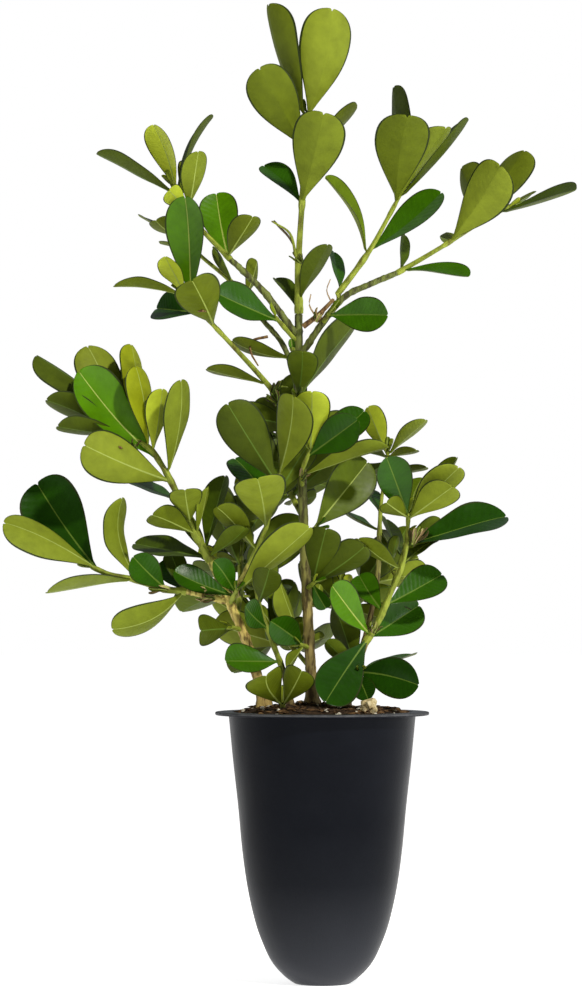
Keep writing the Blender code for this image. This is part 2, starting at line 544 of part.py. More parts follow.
def keep_main_shell(mesh):
    """Drops loose scraps and fills what fusing sealed: only the largest closed shell stays."""
    shaped = bmesh.new()
    shaped.from_mesh(mesh)
    left, shells = set(shaped.faces), []
    while left:
        shell, edge = set(), [left.pop()]
        while edge:
            face = edge.pop()
            shell.add(face)
            near = {other for side in face.edges if side.is_manifold for other in side.link_faces} & left
            left -= near
            edge.extend(near)
        shells.append(shell)
    largest = max(shells, key=len)
    for shell in shells:
        if shell is not largest:
            bmesh.ops.delete(shaped, geom=list(shell), context="FACES")
    bmesh.ops.triangulate(shaped, faces=shaped.faces)
    shaped.to_mesh(mesh)
    shaped.free()


def fused_mass(name, tubes, leaves, collection):
    """One solid from a mass's stem, side twigs and leaves."""
    parts = bpy.data.collections.new(name + "_parts")
    bpy.context.scene.collection.children.link(parts)
    stem = limb_object(name, *tubes[0], collection, 1)
    for index, (path, radii) in enumerate(tubes[1:]):
        limb_object(f"{name}_twig_{index}", path, radii, parts, 0)
    for index, leaf in enumerate(leaves):
        mesh_object(f"{name}_leaf_{index}", *blade(leaf), parts)
    union = stem.modifiers.new("fuse", "BOOLEAN")
    union.operation = "UNION"
    union.operand_type = "COLLECTION"
    union.collection = parts
    union.solver = "EXACT"
    made = bpy.data.meshes.new_from_object(stem.evaluated_get(bpy.context.evaluated_depsgraph_get()))
    stem.modifiers.clear()
    stem.data = made
    for obj in list(parts.objects):
        bpy.data.objects.remove(obj, do_unlink=True)
    bpy.data.collections.remove(parts)
    keep_main_shell(made)
    return stem


def finish_object(obj, look, smooth_angle=40):
    obj.data.materials.clear()
    obj.data.materials.append(material(look))
    obj.data.shade_smooth()
    obj.data.set_sharp_from_angle(angle=math.radians(smooth_angle))


def make_pot(collection, cutters):
    outside = [(LIP_RADIUS, POT_HEIGHT), (LIP_RADIUS, POT_HEIGHT - LIP_THICKNESS),
               (POT_OUTLINE[0][0], POT_HEIGHT - LIP_THICKNESS), *POT_OUTLINE[1:], *POT_FOOT, (0, 0)]
    profile = [*inner_wall(WALL, FLOOR), *outside]
    pot = turned_object("pot", profile, collection)
    for index in range(DRAIN_HOLES):
        angle = math.tau * (index + 0.5) / DRAIN_HOLES
        spot = (DRAIN_RING * MM * math.cos(angle), DRAIN_RING * MM * math.sin(angle), FLOOR * MM / 2)
        bpy.ops.mesh.primitive_cylinder_add(vertices=12, radius=DRAIN_RADIUS * MM, depth=3 * FLOOR * MM, location=spot)
        cutter = bpy.context.object
        cutter.name = f"drain_cutter_{index}"
        cutter.hide_render = True
        cutter.display_type = "WIRE"
        for holder in list(cutter.users_collection):
            holder.objects.unlink(cutter)
        cutters.objects.link(cutter)
    drain = pot.modifiers.new("drain_holes", "BOOLEAN")
    drain.operand_type = "COLLECTION"
    drain.collection = cutters
    drain.solver = "EXACT"
    return pot


def inner_wall(inset, floor):
    """The pot's outline drawn in by inset, from the middle of its floor up to the rim."""
    wall = [(r - inset, z) for r, z in [*POT_OUTLINE, *POT_FOOT] if z > floor + 1]
    corner = [(POT_FOOT[-2][0], floor)]
    return [(0, floor), *corner, *reversed(wall)]


def make_potting_mix(collection):
    wall = inner_wall(WALL + SEAT_GAP, FLOOR + SEAT_GAP)
    top = SOIL_TOP - SOIL_EDGE_DROP
    below = [(r, z) for r, z in wall if 0 < r and z < top]
    low, high = POT_OUTLINE[1], POT_OUTLINE[0]
    share = (top - low[1]) / (high[1] - low[1])
    edge = low[0] + (high[0] - low[0]) * share - WALL - SEAT_GAP
    profile = [(0, SOIL_TOP), (SOIL_LEVEL_RADIUS, SOIL_TOP), (edge, top), *reversed(below), (0, FLOOR + SEAT_GAP)]
    return turned_object("potting_mix", profile, collection)


def main():
    clear_scene()
    plant = bpy.data.collections.new("potted_boxwood")
    cutters = bpy.data.collections.new("cutters")
    bpy.context.scene.collection.children.link(plant)
    bpy.context.scene.collection.children.link(cutters)
    finish_object(make_pot(plant, cutters), "pot")
    finish_object(make_potting_mix(plant), "potting_mix")
    limbs, space = {}, Space()
    for name, (carrier, share, points, thick, thin) in LIMBS.items():
        path = rooted_path(limbs.get(carrier, carrier), share, points, thick)
        limbs[name] = (path, (thick, thin))
        space.add(name, tube_shape(path, (thick, thin)))
        finish_object(limb_object(name, path, (thick, thin), plant), "bark")
    for name, (tubes, leaves) in grow_masses(limbs, space).items():
        finish_object(fused_mass(name, tubes, leaves, plant), "foliage")


if __name__ == "__main__":
    main()
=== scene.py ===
"""Looks of a potted young boxwood: fine leaves, twigs, bark, a moulded pot and potting mix.

Units are millimetres until a mesh is made, and +Z is up. The stems' paths and the places of the leaves
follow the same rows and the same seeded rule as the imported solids. Each mass of foliage is replaced by curved
leaves in their own outline and by twigs swollen at the joints, carried on to finer twigs and buds within the
same reach.
"""

import math
import random
from collections import namedtuple

import bpy
import numpy as np
from mathutils import Matrix, Vector, noise
from mathutils.bvhtree import BVHTree


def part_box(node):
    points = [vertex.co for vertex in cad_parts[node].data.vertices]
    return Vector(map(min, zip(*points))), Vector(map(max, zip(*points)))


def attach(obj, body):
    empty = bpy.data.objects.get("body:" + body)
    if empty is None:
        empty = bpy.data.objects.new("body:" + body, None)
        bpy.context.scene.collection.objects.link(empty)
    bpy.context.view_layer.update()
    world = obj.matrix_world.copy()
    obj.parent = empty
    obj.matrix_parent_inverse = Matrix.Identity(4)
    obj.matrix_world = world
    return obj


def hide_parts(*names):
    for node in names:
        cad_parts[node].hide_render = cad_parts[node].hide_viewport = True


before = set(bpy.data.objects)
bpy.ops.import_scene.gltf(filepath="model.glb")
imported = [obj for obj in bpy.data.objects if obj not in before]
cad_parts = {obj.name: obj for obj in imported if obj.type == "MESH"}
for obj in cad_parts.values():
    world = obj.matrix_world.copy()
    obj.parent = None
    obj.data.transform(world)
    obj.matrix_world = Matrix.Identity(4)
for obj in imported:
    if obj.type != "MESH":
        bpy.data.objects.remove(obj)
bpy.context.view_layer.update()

MM = 0.001
FRONT = Vector((0, -1, 0))
UP = Vector((0, 0, 1))

# Pot: a thin moulded shell with a flat lip, narrowing to a rounded foot with a small flat underside.
POT_HEIGHT = 72.0
LIP_RADIUS = 28.5
LIP_THICKNESS = 0.9
LIP_UNDERSIDE = POT_HEIGHT - LIP_THICKNESS
WALL = 1.0
FLOOR = 1.4
POT_OUTLINE = [(25.0, 72.0), (23.8, 59.6), (22.4, 47.0), (21.3, 35.4), (19.9, 25.5)]
POT_FOOT = [(18.0, 16.9), (16.2, 11.5), (13.8, 6.3), (11.4, 3.2), (9.2, 1.2), (7.4, 0.0)]
NECK = POT_OUTLINE[0][0]
DRAIN_HOLES = 4
DRAIN_RADIUS = 1.4
DRAIN_RING = 4.6

# Potting mix: fills the pot, level in the middle and sloping down to the wall.
SEAT_GAP = 0.3
SOIL_TOP = 72.9
SOIL_LEVEL_RADIUS = 19.5
SOIL_EDGE_DROP = 1.8
MIX_RADIUS = NECK - WALL - SEAT_GAP

# Leaves: spoon-shaped blades, widest at about two thirds of their length, with a blunt round tip.
LEAF_WIDTH = 0.49
LEAF_THICKNESS = 0.45
LEAF_WIDEST = 0.7
LEAF_TIP = 0.42
BASE_CURVE = 1.25
TIP_CURVE = 2.6
PETIOLE_WIDTH = 0.9
PETIOLE_THICKNESS = 0.6
LEAF_SEAT = 0.35
LEAF_SECTIONS = (0.0, 0.36, LEAF_WIDEST, 1.0)
CUPS = (0.15, 0.4)
BOWS = (-0.06, 0.03)

# What keeps leaves apart: their distance from other masses and from their own, the share of a leaf from which
# its own mass counts, the swings in degrees and sizes that are tried, and what a shift in depth counts for.
CLEARANCE = 0.35
SELF_CLEARANCE = 0.1
FREE_SHARE = 0.3
LOWEST_LEAF = SOIL_TOP + 0.5
SWINGS = (0, 5, -5, 10, -10, 16, -16, 23, -23, 30, -30)
SHRINKS = (1, 0.92, 0.84)
DEPTH_WEIGHT = 0.3
TEST_SIDES = 6

# Paths: how far apart their points are, and what counts as rounding and as a leaf that points at the camera.
PATH_STEP = 7.0
ROUNDING = 1e-9
END_ON = 1e-6

# Limbs: carrier and share of its length where the limb starts, the points it runs through, and its
# radius at the start and at the end. "soil" carries the stems that stand in the potting mix.
LIMBS = {
    "main_stem": ("soil", 0, [(-2.6, 0, 73), (-3.4, 0, 90), (-4.6, 0, 113), (-5.4, 0, 134),
                              (-6.4, 0, 157), (-6.2, 0, 178)], 1.45, 1.05),
    "left_stem": ("soil", 0, [(-15.5, -1, 73), (-17.7, -2, 83), (-20.6, -4, 92), (-24.6, -5, 101),
                              (-27.2, -6, 107), (-29.6, -7, 112)], 1.5, 1.0),
    "right_stem": ("soil", 0, [(6, 1, 73), (8, 0.5, 81), (11.4, 0, 90)], 1.3, 0.95),
    "front_stem": ("soil", 0, [(-8.6, -6, 73), (-10, -7, 82)], 0.9, 0.8),
    "upper_left_bough": ("main_stem", 0.95, [(-15.6, -2, 184), (-24.4, -4, 192.4)], 1.0, 0.8),
    "left_back_bough": ("main_stem", 0.86, [(-11, 2, 171), (-16, 4, 177)], 0.75, 0.65),
    "upper_right_bough": ("main_stem", 0.9, [(0, -1.5, 175.5), (6, -3, 182.5), (20, -2, 189)], 0.95, 0.75),
    "left_low_bough": ("left_stem", 0.72, [(-31, -7, 103), (-36, -7, 104)], 0.95, 0.8),
    "inner_left_bough": ("left_stem", 0.76, [(-21.5, -7, 107), (-19.5, -7, 111)], 0.75, 0.65),
    "right_back_bough": ("right_stem", 0.55, [(12, 6, 93), (15, 8, 108), (15.5, 10, 119)], 0.8, 0.65),
}
ROOT_FLARE = {"main_stem": 1.75, "left_stem": 1.6, "right_stem": 1.6, "front_stem": 1.4}
FLARE_HEIGHT = 8.0
FOOT_RISE = 1.5

# Masses of foliage whose leaves are listed one by one: carrier and share, the stem's points, its radius at both
# ends, the number of side twigs behind it, a letter for each leaf's tint, and its leaves. A leaf is (share of
# the stem, reach to the right, reach upwards, length, +1 if it leans to the front or -1 to the back, how much
# of its upper side the front sees: 1 all, 0 its edge, -1 its underside).
SET_MASSES = {
    "left_fork_tuft": ("left_stem", 0.70, [(-22.5, -12.5, 104.5)], 0.65, 0.55, 0, "Pdd", [
        (0.9, 19.5, 16.5, 26.5, 1, -0.6), (0.8, -5, 8, 14, 1, 0.6), (0.5, -15, 6.5, 17, -1, 0.75)]),
    "top_spray": ("main_stem", 1.0, [(-6.3, -1, 192), (-5.4, -2, 207), (-4.7, -2, 222), (-4, -2, 232)],
        1.0, 0.6, 0, "oPoopdsOO", [
        (0.98, -10.3, 29.8, 32, 1, -0.38), (0.98, 6.8, 28.3, 30, 1, -0.9), (0.83, -12, 20, 26, 1, -0.9),
        (0.83, 14.1, 12.4, 20, -1, -0.3), (0.56, 5.6, 21.4, 28.5, 1, -0.9),
        (0.56, -10.2, 10.8, 16.5, -1, 0.75), (0.30, -7.5, 9, 12.5, -1, 0), (0.08, 7.5, 14, 18, 1, -0.55),
        (0.03, -6, 9.3, 12.5, -1, 0.6)]),
    "upper_right_spray": ("upper_right_bough", 0.45, [(9.3, -3.5, 190), (13.4, -4, 196), (21, -4, 210)],
        0.9, 0.5, 0, "oOOpgpd", [
        (0.94, 2.2, 20.2, 29.2, 1, -1.0), (0.94, -0.6, 31.6, 32, -1, -0.3), (0.98, 19, 21, 28.5, -1, 0.1),
        (0.98, 12, 16.8, 25, 1, -0.45), (0.47, 19.2, 15.8, 25, -1, 0.62), (0.43, -11, 19.5, 24, 1, 0.3),
        (0.06, -1.6, 10.8, 13, -1, 0.5)]),
    "right_side_spray": (
        "upper_right_bough", 1.0, [(27, -2, 193), (34, -1, 197.3), (44, 0, 203.7), (50, 0, 207)],
        0.7, 0.45, 0, "OoooPogO", [
        (0.93, 19.5, 4.5, 23.5, 1, 0.28), (0.98, 8, 5.6, 12, -1, 0), (0.81, 11, 19.4, 23.2, -1, -0.75),
        (0.80, -5.8, 16, 22, -1, -0.5), (0.49, 12.8, 18.4, 27, 1, -0.8), (0.49, -0.9, 4.6, 13, -1, -0.4),
        (0.06, 17.2, -3.0, 19, 1, 0.42), (0.05, 0.9, 10, 12, -1, 0.42)]),
    "upper_left_spray": ("upper_left_bough", 1.0, [(-31, -6, 199), (-35, -7, 204), (-40, -8, 212)],
        0.7, 0.45, 0, "yOOpyyGo", [
        (0.93, -5.8, 16.9, 19, 1, 0.65), (0.90, -20.8, 11.1, 24, 1, -0.25), (0.93, 8.8, 21.4, 24, -1, 0.14),
        (0.71, 2.7, 14.5, 17, 1, -0.65), (0.86, 2, 10, 14, -1, -0.5), (0.69, -5, 4.5, 12, 1, -0.6),
        (0.05, -3.4, 18.3, 21.5, -1, 0.95), (0.05, 6.8, 9, 16.5, 1, -0.55)]),
    "left_back_spray": ("left_back_bough", 1.0, [(-24, 6, 187), (-32, 8, 194), (-40, 9, 202)],
        0.65, 0.45, 0, "oooOo", [
        (0.93, -6.4, 3, 13.5, 1, -0.35), (0.90, -12, 7.7, 16.5, -1, 0.15),
        (0.80, -9, 2, 11, -1, 0.1), (0.40, -4.4, 8, 12, 1, -0.3), (0.23, 3.2, 10.6, 13, -1, -0.5)]),
    "left_front_spray": (
        "main_stem", 0.72, [(-11.6, -4, 155.5), (-18.6, -7, 163.5), (-29.2, -11, 174.7), (-37, -12, 183)],
        0.8, 0.5, 0, "GoyDoo", [
        (0.94, -0.6, 27, 27.5, -1, 0.8), (0.99, -18.3, 2.2, 19.5, 1, -0.22), (0.99, -5, 8.9, 13.5, 1, 0.6),
        (0.85, -12.6, 2.3, 16.5, -1, 0.7), (0.75, -5.3, 10.3, 25, 1, -0.9), (0.28, -15.8, 3.5, 17, 1, -0.3)]),
    "left_top_spray": ("left_stem", 1.0, [(-34, -8, 120), (-40, -10, 133), (-46, -10, 142), (-54, -10, 147)],
        1.1, 0.55, 0, "GPpPOOOlloyddpopOdOO", [
        (0.71, -20, 23, 31, 1, 0.9), (0.55, -22, 9, 26.5, 1, -0.95), (0.60, 4.1, 24.2, 26, 1, -0.45),
        (0.97, -10, 23.4, 26, -1, -0.85), (0.99, -23.4, 18.8, 30, 1, -0.36), (0.99, -20.4, 11, 23.5, 1, -0.6),
        (0.97, -17, 1.6, 19, 1, -0.45), (0.81, -4.2, 27.3, 28, -1, -0.4), (0.80, -3, 21, 21.5, 1, -0.6),
        (0.82, -3.8, 24.2, 26, -1, 0.25), (0.76, 2.5, 16.5, 17, 1, -0.7), (0.97, -9.5, 19.5, 23, -1, 0.35),
        (0.42, -14.4, 6.2, 18.5, -1, 0.3), (0.27, -1, 8.5, 18, 1, -0.9), (0.20, -11, 5, 17, 1, -0.6),
        (0.20, 2.7, 12, 14, 1, -0.3), (0.08, 5, 20, 21, -1, 0.6), (0.04, 10, 7, 15, 1, -0.5),
        (0.03, -20, 4, 22, -1, 0.5), (0.03, -5.6, 12, 14.5, -1, -0.5)]),
    "far_left_spray": (
        "left_low_bough", 1.0, [(-42, -7, 104.6), (-50, -8, 107.2), (-56, -8, 108.4), (-61, -8, 110.4)],
        0.95, 0.6, 0, "DPppdpdO", [
        (0.98, -16.7, 23, 31, -1, 0.97), (0.98, -23.4, 12.3, 27.8, 1, -0.6), (0.58, -22, -3.8, 24, 1, -0.18),
        (0.55, -4.6, 21.4, 22, 1, -0.5), (0.22, -8.5, 8.6, 17, 1, 0.8), (0.04, -18.4, -10.2, 22, 1, -0.65),
        (0.05, -5, 8, 14, -1, 0.8), (0.04, 3, 9.5, 15.5, -1, 0.8)]),
    "inner_left_spray": (
        "inner_left_bough", 1.0, [(-17, -8, 116), (-14.5, -9, 122), (-13, -10, 128), (-11, -11, 136)],
        0.6, 0.45, 1, "pOdPo", [
        (0.97, 4, 20, 25, 1, -0.7), (0.88, -13, 20.7, 25.5, 1, -0.95), (0.66, -10, 13, 20, -1, 0.7),
        (0.43, -2, 12, 28, 1, -0.9), (0.18, -10, 11, 18, 1, -0.7)]),
    "middle_spray": ("main_stem", 0.56, [(-5.5, -5, 135.5), (-4, -8, 139.5), (-2.5, -9, 142.5)],
        0.6, 0.5, 0, "ddypp", [
        (0.83, 15, 12, 21, -1, 0.8), (0.80, 13, 9, 20, 1, 0.8), (0.95, 0.3, 15, 20, 1, -0.9),
        (0.30, 22.5, 8, 25, 1, -0.3), (0.92, -4, 15, 18, 1, -0.3)]),
    "left_fork_collar": ("main_stem", 0.93, [(-12.4, -3.6, 177)], 0.6, 0.55, 0, "d", [
        (0.9, -16.6, 6.4, 21, 1, 0.75)]),
    "right_fork_tuft": ("upper_right_bough", 0.25, [(2, -5, 178)], 0.6, 0.55, 0, "g", [
        (0.9, 15.2, -0.9, 19.2, 1, 0.9)]),
    "upper_collar": ("main_stem", 0.86, [(-7.5, -4.5, 167)], 0.6, 0.55, 0, "o", [
        (0.8, -17, 4.1, 19, 1, -0.35)]),
    "mid_collar": ("main_stem", 0.77, [(-6.5, -5, 156)], 0.6, 0.55, 0, "dO", [
        (0.9, 1.2, 11.5, 17, 1, -0.85), (0.7, 16.6, 21.8, 28.5, -1, -0.45)]),
    "right_upper_tuft": ("main_stem", 0.44, [(-1.5, -3, 121)], 0.6, 0.55, 0, "o", [
        (0.9, 15, 18.5, 26, -1, 0.9)]),
    "right_mid_tuft": ("main_stem", 0.3, [(-2, -4.5, 106.5)], 0.6, 0.55, 0, "OOd", [
        (0.9, 3.5, 14.5, 21, 1, -0.85), (0.8, 13, 10, 21, 1, -0.7), (0.7, 2.5, -6, 11, -1, 0.8)]),
    "left_low_tuft": ("main_stem", 0.15, [(-6, -4, 90)], 0.6, 0.55, 0, "pdDo", [
        (0.9, -6, 16, 18, 1, -0.5), (0.8, -8, 6, 17, 1, 0.6), (0.7, -9, 2, 15, -1, -0.2),
        (0.6, -5.5, -6, 11, 1, -0.5)]),
    "right_stem_spray": (
        "right_stem", 1.0, [(15, 0, 96), (18, -1, 103), (21, -2, 110), (22.5, -2, 117), (23, -2, 125)],
        0.9, 0.5, 1, "DDdPPooddGoogp", [
        (0.05, -12.5, -18, 27.5, 1, 0.97), (0.78, 27, 8.5, 29, -1, 0.6), (0.99, -6, 15, 20, 1, 0.8),
        (0.99, 12.8, 12.8, 21, 1, -0.7), (0.97, 11, 8, 20, 1, -0.6), (0.98, 13.4, 15.8, 21, -1, 0.3),
        (0.98, -6, 3.5, 13, 1, -0.5), (0.32, 15.6, 8.4, 20.5, -1, 0.8), (0.06, 13.8, 8.5, 21, -1, 0.8),
        (0.08, -10, 13, 20, 1, 0.7), (0.61, -11.5, 8, 18, 1, -0.4), (0.63, 9, 7.5, 15, -1, 0.4),
        (0.27, -3, 9, 18, -1, 0.7), (0.99, 4, 11, 15, -1, 0.6)]),
    "right_back_spray": ("right_back_bough", 1.0, [(16, 11, 127), (17, 12, 135), (18, 12, 142)],
        0.6, 0.4, 0, "ypPOoddOo", [
        (0.98, -5.2, 13.2, 15, -1, -0.8), (0.98, 10.2, 8.8, 14.5, 1, -0.4), (0.95, 7.5, 1.5, 11, 1, -0.3),
        (0.95, -8, 2, 12, 1, -0.3), (0.74, 11, 2, 13, 1, -0.3), (0.29, -4, 7, 13, -1, 0.4),
        (0.08, -10, 5, 14, -1, 0.1), (0.9, -6.5, -3.5, 11, -1, -0.5), (0.1, 4, -5.5, 11, -1, 0.3)]),
    "centre_spray": ("front_stem", 1.0, [(-13, -8, 90), (-16, -8, 98), (-17.5, -8, 104)],
        0.75, 0.55, 1, "OdOg", [
        (0.90, 3, 9, 16, 1, -0.6), (0.58, -6, 6, 15, 1, 0.5), (0.41, 3, 14, 18, -1, -0.5),
        (0.17, -14, 0.5, 19, 1, 0.6)]),
    "front_foot_tuft": ("soil", 0, [(-10.5, -12, 73), (-10.5, -12, 75)], 0.7, 0.6, 0, "oo", [
        (0.8, -4.4, 8.6, 19, 1, -0.95), (0.8, 5, 9.4, 19, 1, -0.88)]),
    "right_foot_tuft": ("right_stem", 0.5, [(9.5, -3.5, 83)], 0.6, 0.55, 0, "DdODd", [
        (0.9, 14.8, -3.0, 24, 1, 1.0), (0.8, 15.5, 4.5, 20, -1, 0.1), (0.7, -7, 18, 20.5, -1, -0.75),
        (0.6, 3, -7, 12.5, 1, 0.9), (0.7, -8, 8.5, 13.5, 1, -0.7)]),
    "left_stem_tuft": ("left_stem", 0.52, [(-24, -8.5, 94.5)], 0.6, 0.55, 0, "O", [
        (0.8, -9, -0.5, 17, 1, -0.9)]),
}

# Masses grown wholly by the rule: carrier and share, the stem's points, its radius at both ends, side twigs,
# longest and shortest leaf, and compass bearing of the lowest pair in degrees.
GROWN_MASSES = {
    "back_upper_spray": ("main_stem", 0.70, [(-7, 10, 149), (-8, 19, 151), (-9, 25, 153)],
                         0.7, 0.45, 1, 18, 13, 50),
    "back_middle_spray": ("main_stem", 0.48, [(-8, 12, 130), (-10, 25, 138), (-12, 35, 148)],
                          0.75, 0.5, 2, 24, 17, 9),
    "back_left_spray": ("left_stem", 0.60, [(-22, 8, 104), (-22, 22, 114), (-21, 34, 126)],
                        0.75, 0.5, 2, 24, 17, 10),
    "back_right_spray": ("main_stem", 0.26, [(4, 10, 101), (12, 22, 105), (18, 33, 111)],
                         0.75, 0.5, 2, 22, 15, 62),
    "back_low_spray": ("main_stem", 0.10, [(-9, 11, 90), (-14, 23, 93), (-18, 33, 98)],
                       0.7, 0.5, 1, 22, 15, 70),
}
MASSES = {**SET_MASSES, **GROWN_MASSES}

# The rule: leaf pairs up a shoot, how far they spread from it low down and at its tip in degrees, how much
# chance turns, rolls and scales each one, and the short side twigs with their reach, radii and leaves.
RULE_SEED = 59
GROWN_PAIRS = 4
LOWEST_PAIR = 0.3
LOW_SPREAD = 62
TIP_SPREAD = 30
BEARING_JITTER = 14
ROLL_JITTER = 22
SIZE_JITTER = (0.9, 1.08)
TWIG_BEARING = 25
TWIG_RISE = 0.25
TWIG_LENGTH = (7, 11)
TWIG_RADIUS = (0.5, 0.4)
TWIG_LEAF = (17, 14)
TWIG_PAIRS = 1
TWIG_LOWEST_PAIR = 0.9
TWIG_SPREAD = 38

# ---- Looks: sizes and colours of what only shows ----

# The camera stands level with the lower foliage and looks slightly up.
CAMERA_SPOT = Vector((-8.3, -900, 100))
CAMERA_AIM = Vector((-8.3, 0, 130))
CAMERA_LENS = 122.88

# Linear colours of a leaf's upper side and underside, by tint, and the letter that stands for each tint.
TINTS = {
    "darkest": ((0.011, 0.048, 0.001), (0.050, 0.085, 0.003)),
    "dark": ((0.020, 0.075, 0.001), (0.080, 0.115, 0.004)),
    "green": ((0.034, 0.110, 0.001), (0.100, 0.140, 0.005)),
    "bright": ((0.064, 0.172, 0.001), (0.150, 0.200, 0.007)),
    "olive": ((0.075, 0.110, 0.003), (0.100, 0.130, 0.005)),
    "dusky": ((0.046, 0.076, 0.002), (0.056, 0.080, 0.003)),
    "pale": ((0.090, 0.140, 0.005), (0.150, 0.190, 0.012)),
    "lightest": ((0.110, 0.165, 0.006), (0.185, 0.228, 0.016)),
    "young": ((0.400, 0.470, 0.030), (0.360, 0.430, 0.026)),
    "yellow": ((0.270, 0.295, 0.004), (0.215, 0.250, 0.005)),
    "dried": ((0.070, 0.045, 0.018), (0.110, 0.075, 0.030)),
    "papery": ((0.420, 0.300, 0.150), (0.300, 0.200, 0.090)),
}
TINT_LETTERS = dict(zip("DdgGoOpPylsb", TINTS))
GROWN_TINTS = "ddggOOop"
FINE_TINTS = "ggoopyG"
BUD_TINTS = ("bright", "young", "pale")

# A leaf's sides: roughness, weight of a glossy coat and depth of the side veins in metres.
GLOSSY_TINTS = ("darkest", "dark", "green", "bright", "young", "yellow")
GLOSSY_SIDE = (0.34, 0.12, 0.00003)
MATT_SIDE = (0.46, 0.04, 0.00003)
UNDER_SIDE = (0.55, 0.0, 0.000015)
COAT_ROUGHNESS = 0.22
LEAF_SPECULAR = 0.1
LEAF_GRAIN = 0.00005
VEIN_ANGLE = -32
VEIN_SCALE = 5.2

# Midribs, and leaf edges darkened by painted shade; some tints keep a green midrib, and in some masses it has
# the blade's own colour.
RIB_COLOURS = {"rib_light": (0.31, 0.38, 0.075), "rib_green": (0.10, 0.17, 0.018),
               "leaf_edge": (0.022, 0.034, 0.003)}
DULL_RIB_TINTS = ("darkest", "dark", "green", "dusky", "dried")
PLAIN_RIB_MASSES = ("top_spray", "upper_right_spray", "right_side_spray")

# Bark: colours up the plant from the tan foot to the green top, its heights in metres at both ends, a factor
# for each kind of limb that is painted light on the left limbs and painted shade on the rest, and dark streaks.
BARK_STOPS = [(0.0, (0.34, 0.24, 0.07)), (0.2, (0.50, 0.39, 0.10)), (0.33, (0.34, 0.33, 0.06)),
              (0.5, (0.21, 0.24, 0.035)), (0.8, (0.19, 0.23, 0.030)), (1.0, (0.22, 0.27, 0.035))]
BARK_SPAN = (0.072, 0.190)
# Painted shade darkens the main bark (below 1) and painted light brightens the left limbs' bark (above 1).
BARK_PAINTED_LIGHT = {"bark": 0.62, "pale_bark": 1.4}
PAINTED_LIT_LIMBS = ("left_stem", "left_low_bough", "inner_left_bough")
BARK_GRAIN = 0.00025
STREAK_STOPS = [(0.40, (0.15, 0.09, 0.035)), (0.55, (1, 1, 1))]
STREAK_STRENGTH = 0.85

# Plain surfaces: the colours they are mottled between, the mottle's repeats a metre, roughness, depth of
# relief in metres and, where the grain is drawn out, how its axes are scaled.
PLAIN_SPECULAR = 0.15
NOISE_ROUGHNESS = 0.62
PLAIN_LOOKS = {
    "twig_green": ([(0.12, 0.11, 0.020), (0.22, 0.27, 0.030), (0.31, 0.36, 0.045)], 500, (0.5, 0.65), 0.00008,
                   (1, 1, 0.4)),
    "twig_brown": ([(0.06, 0.03, 0.012), (0.16, 0.09, 0.035), (0.30, 0.20, 0.08)], 900, (0.7, 0.9), 0.00015,
                   (1, 1, 0.5)),
    "papery_scale": ([(0.22, 0.13, 0.05), (0.42, 0.30, 0.15)], 900, (0.6, 0.8), 0.0001),
    "peat": ([(0.012, 0.007, 0.004), (0.035, 0.02, 0.011), (0.07, 0.042, 0.022)], 700, (0.85, 1.0), 0.0004),
    "bark_chip": ([(0.05, 0.026, 0.012), (0.12, 0.065, 0.028), (0.20, 0.12, 0.05)], 600, (0.75, 0.95), 0.0002,
                  (1, 1, 2.5)),
    "mineral_grain": ([(0.42, 0.38, 0.30), (0.62, 0.58, 0.48)], 800, (0.7, 0.9), 0.0002),
    "pebble": ([(0.30, 0.20, 0.08), (0.52, 0.42, 0.22), (0.66, 0.58, 0.38)], 600, (0.6, 0.8), 0.0002),
    # A grey painted highlight on the top and edge of the pot's lip.
    "pot_rim_painted_highlight": ([(0.035, 0.036, 0.040), (0.075, 0.077, 0.082)], 300, (0.5, 0.7), 0.00005),
}

# Leaves with a form of their own, by mass and row: how far the middle sways to the right and up, as shares of
# the leaf's length, width against the usual, and curl of the tip where chance doesn't set it.
Form = namedtuple("Form", "right up width curl plain_rib", defaults=(0, 0, 1.0, None, False))
LEAF_FORMS = {
    "left_top_spray": {0: Form(width=0.92), 1: Form(0, -0.02), 2: Form(-0.02), 4: Form(0.05, 0.07),
                       6: Form(0, -0.04)},
    "far_left_spray": {0: Form(width=1.08), 1: Form(0, 0.03), 2: Form(0, -0.01, 1.3),
                       3: Form(-0.08, -0.02, 1.1), 5: Form(0.06, -0.08)},
    "left_front_spray": {0: Form(width=0.92), 1: Form(0, 0.03, 0.9), 3: Form(-0.08, 0.02, 1.15),
                         5: Form(0, -0.02)},
    "upper_left_spray": {0: Form(0.01), 1: Form(0, -0.02, 0.85), 2: Form(-0.07, 0.02, 0.75)},
    "left_fork_collar": {0: Form(0, -0.01)},
    "top_spray": {0: Form(-0.03), 1: Form(0.02), 5: Form(0.03, 0.08), 6: Form(0.10, 0.12, 0.5, 0.1)},
    "upper_right_spray": {0: Form(-0.025), 1: Form(0.02), 4: Form(0.01, -0.03, 1.08), 5: Form(0.08, 0, 0.8)},
    "right_side_spray": {0: Form(0, 0.03), 5: Form(width=0.6, curl=0.3), 6: Form(-0.03, 0.03)},
    "right_fork_tuft": {0: Form(-0.02)},
    "mid_collar": {1: Form(-0.04, 0.02, 0.92)},
    "right_back_spray": {1: Form(-0.04, 0.06, 1.2)},
    "front_foot_tuft": {0: Form(-0.05, 0, 1.15)},
    "right_foot_tuft": {0: Form(-0.03, 0.03, 1.08)},
}

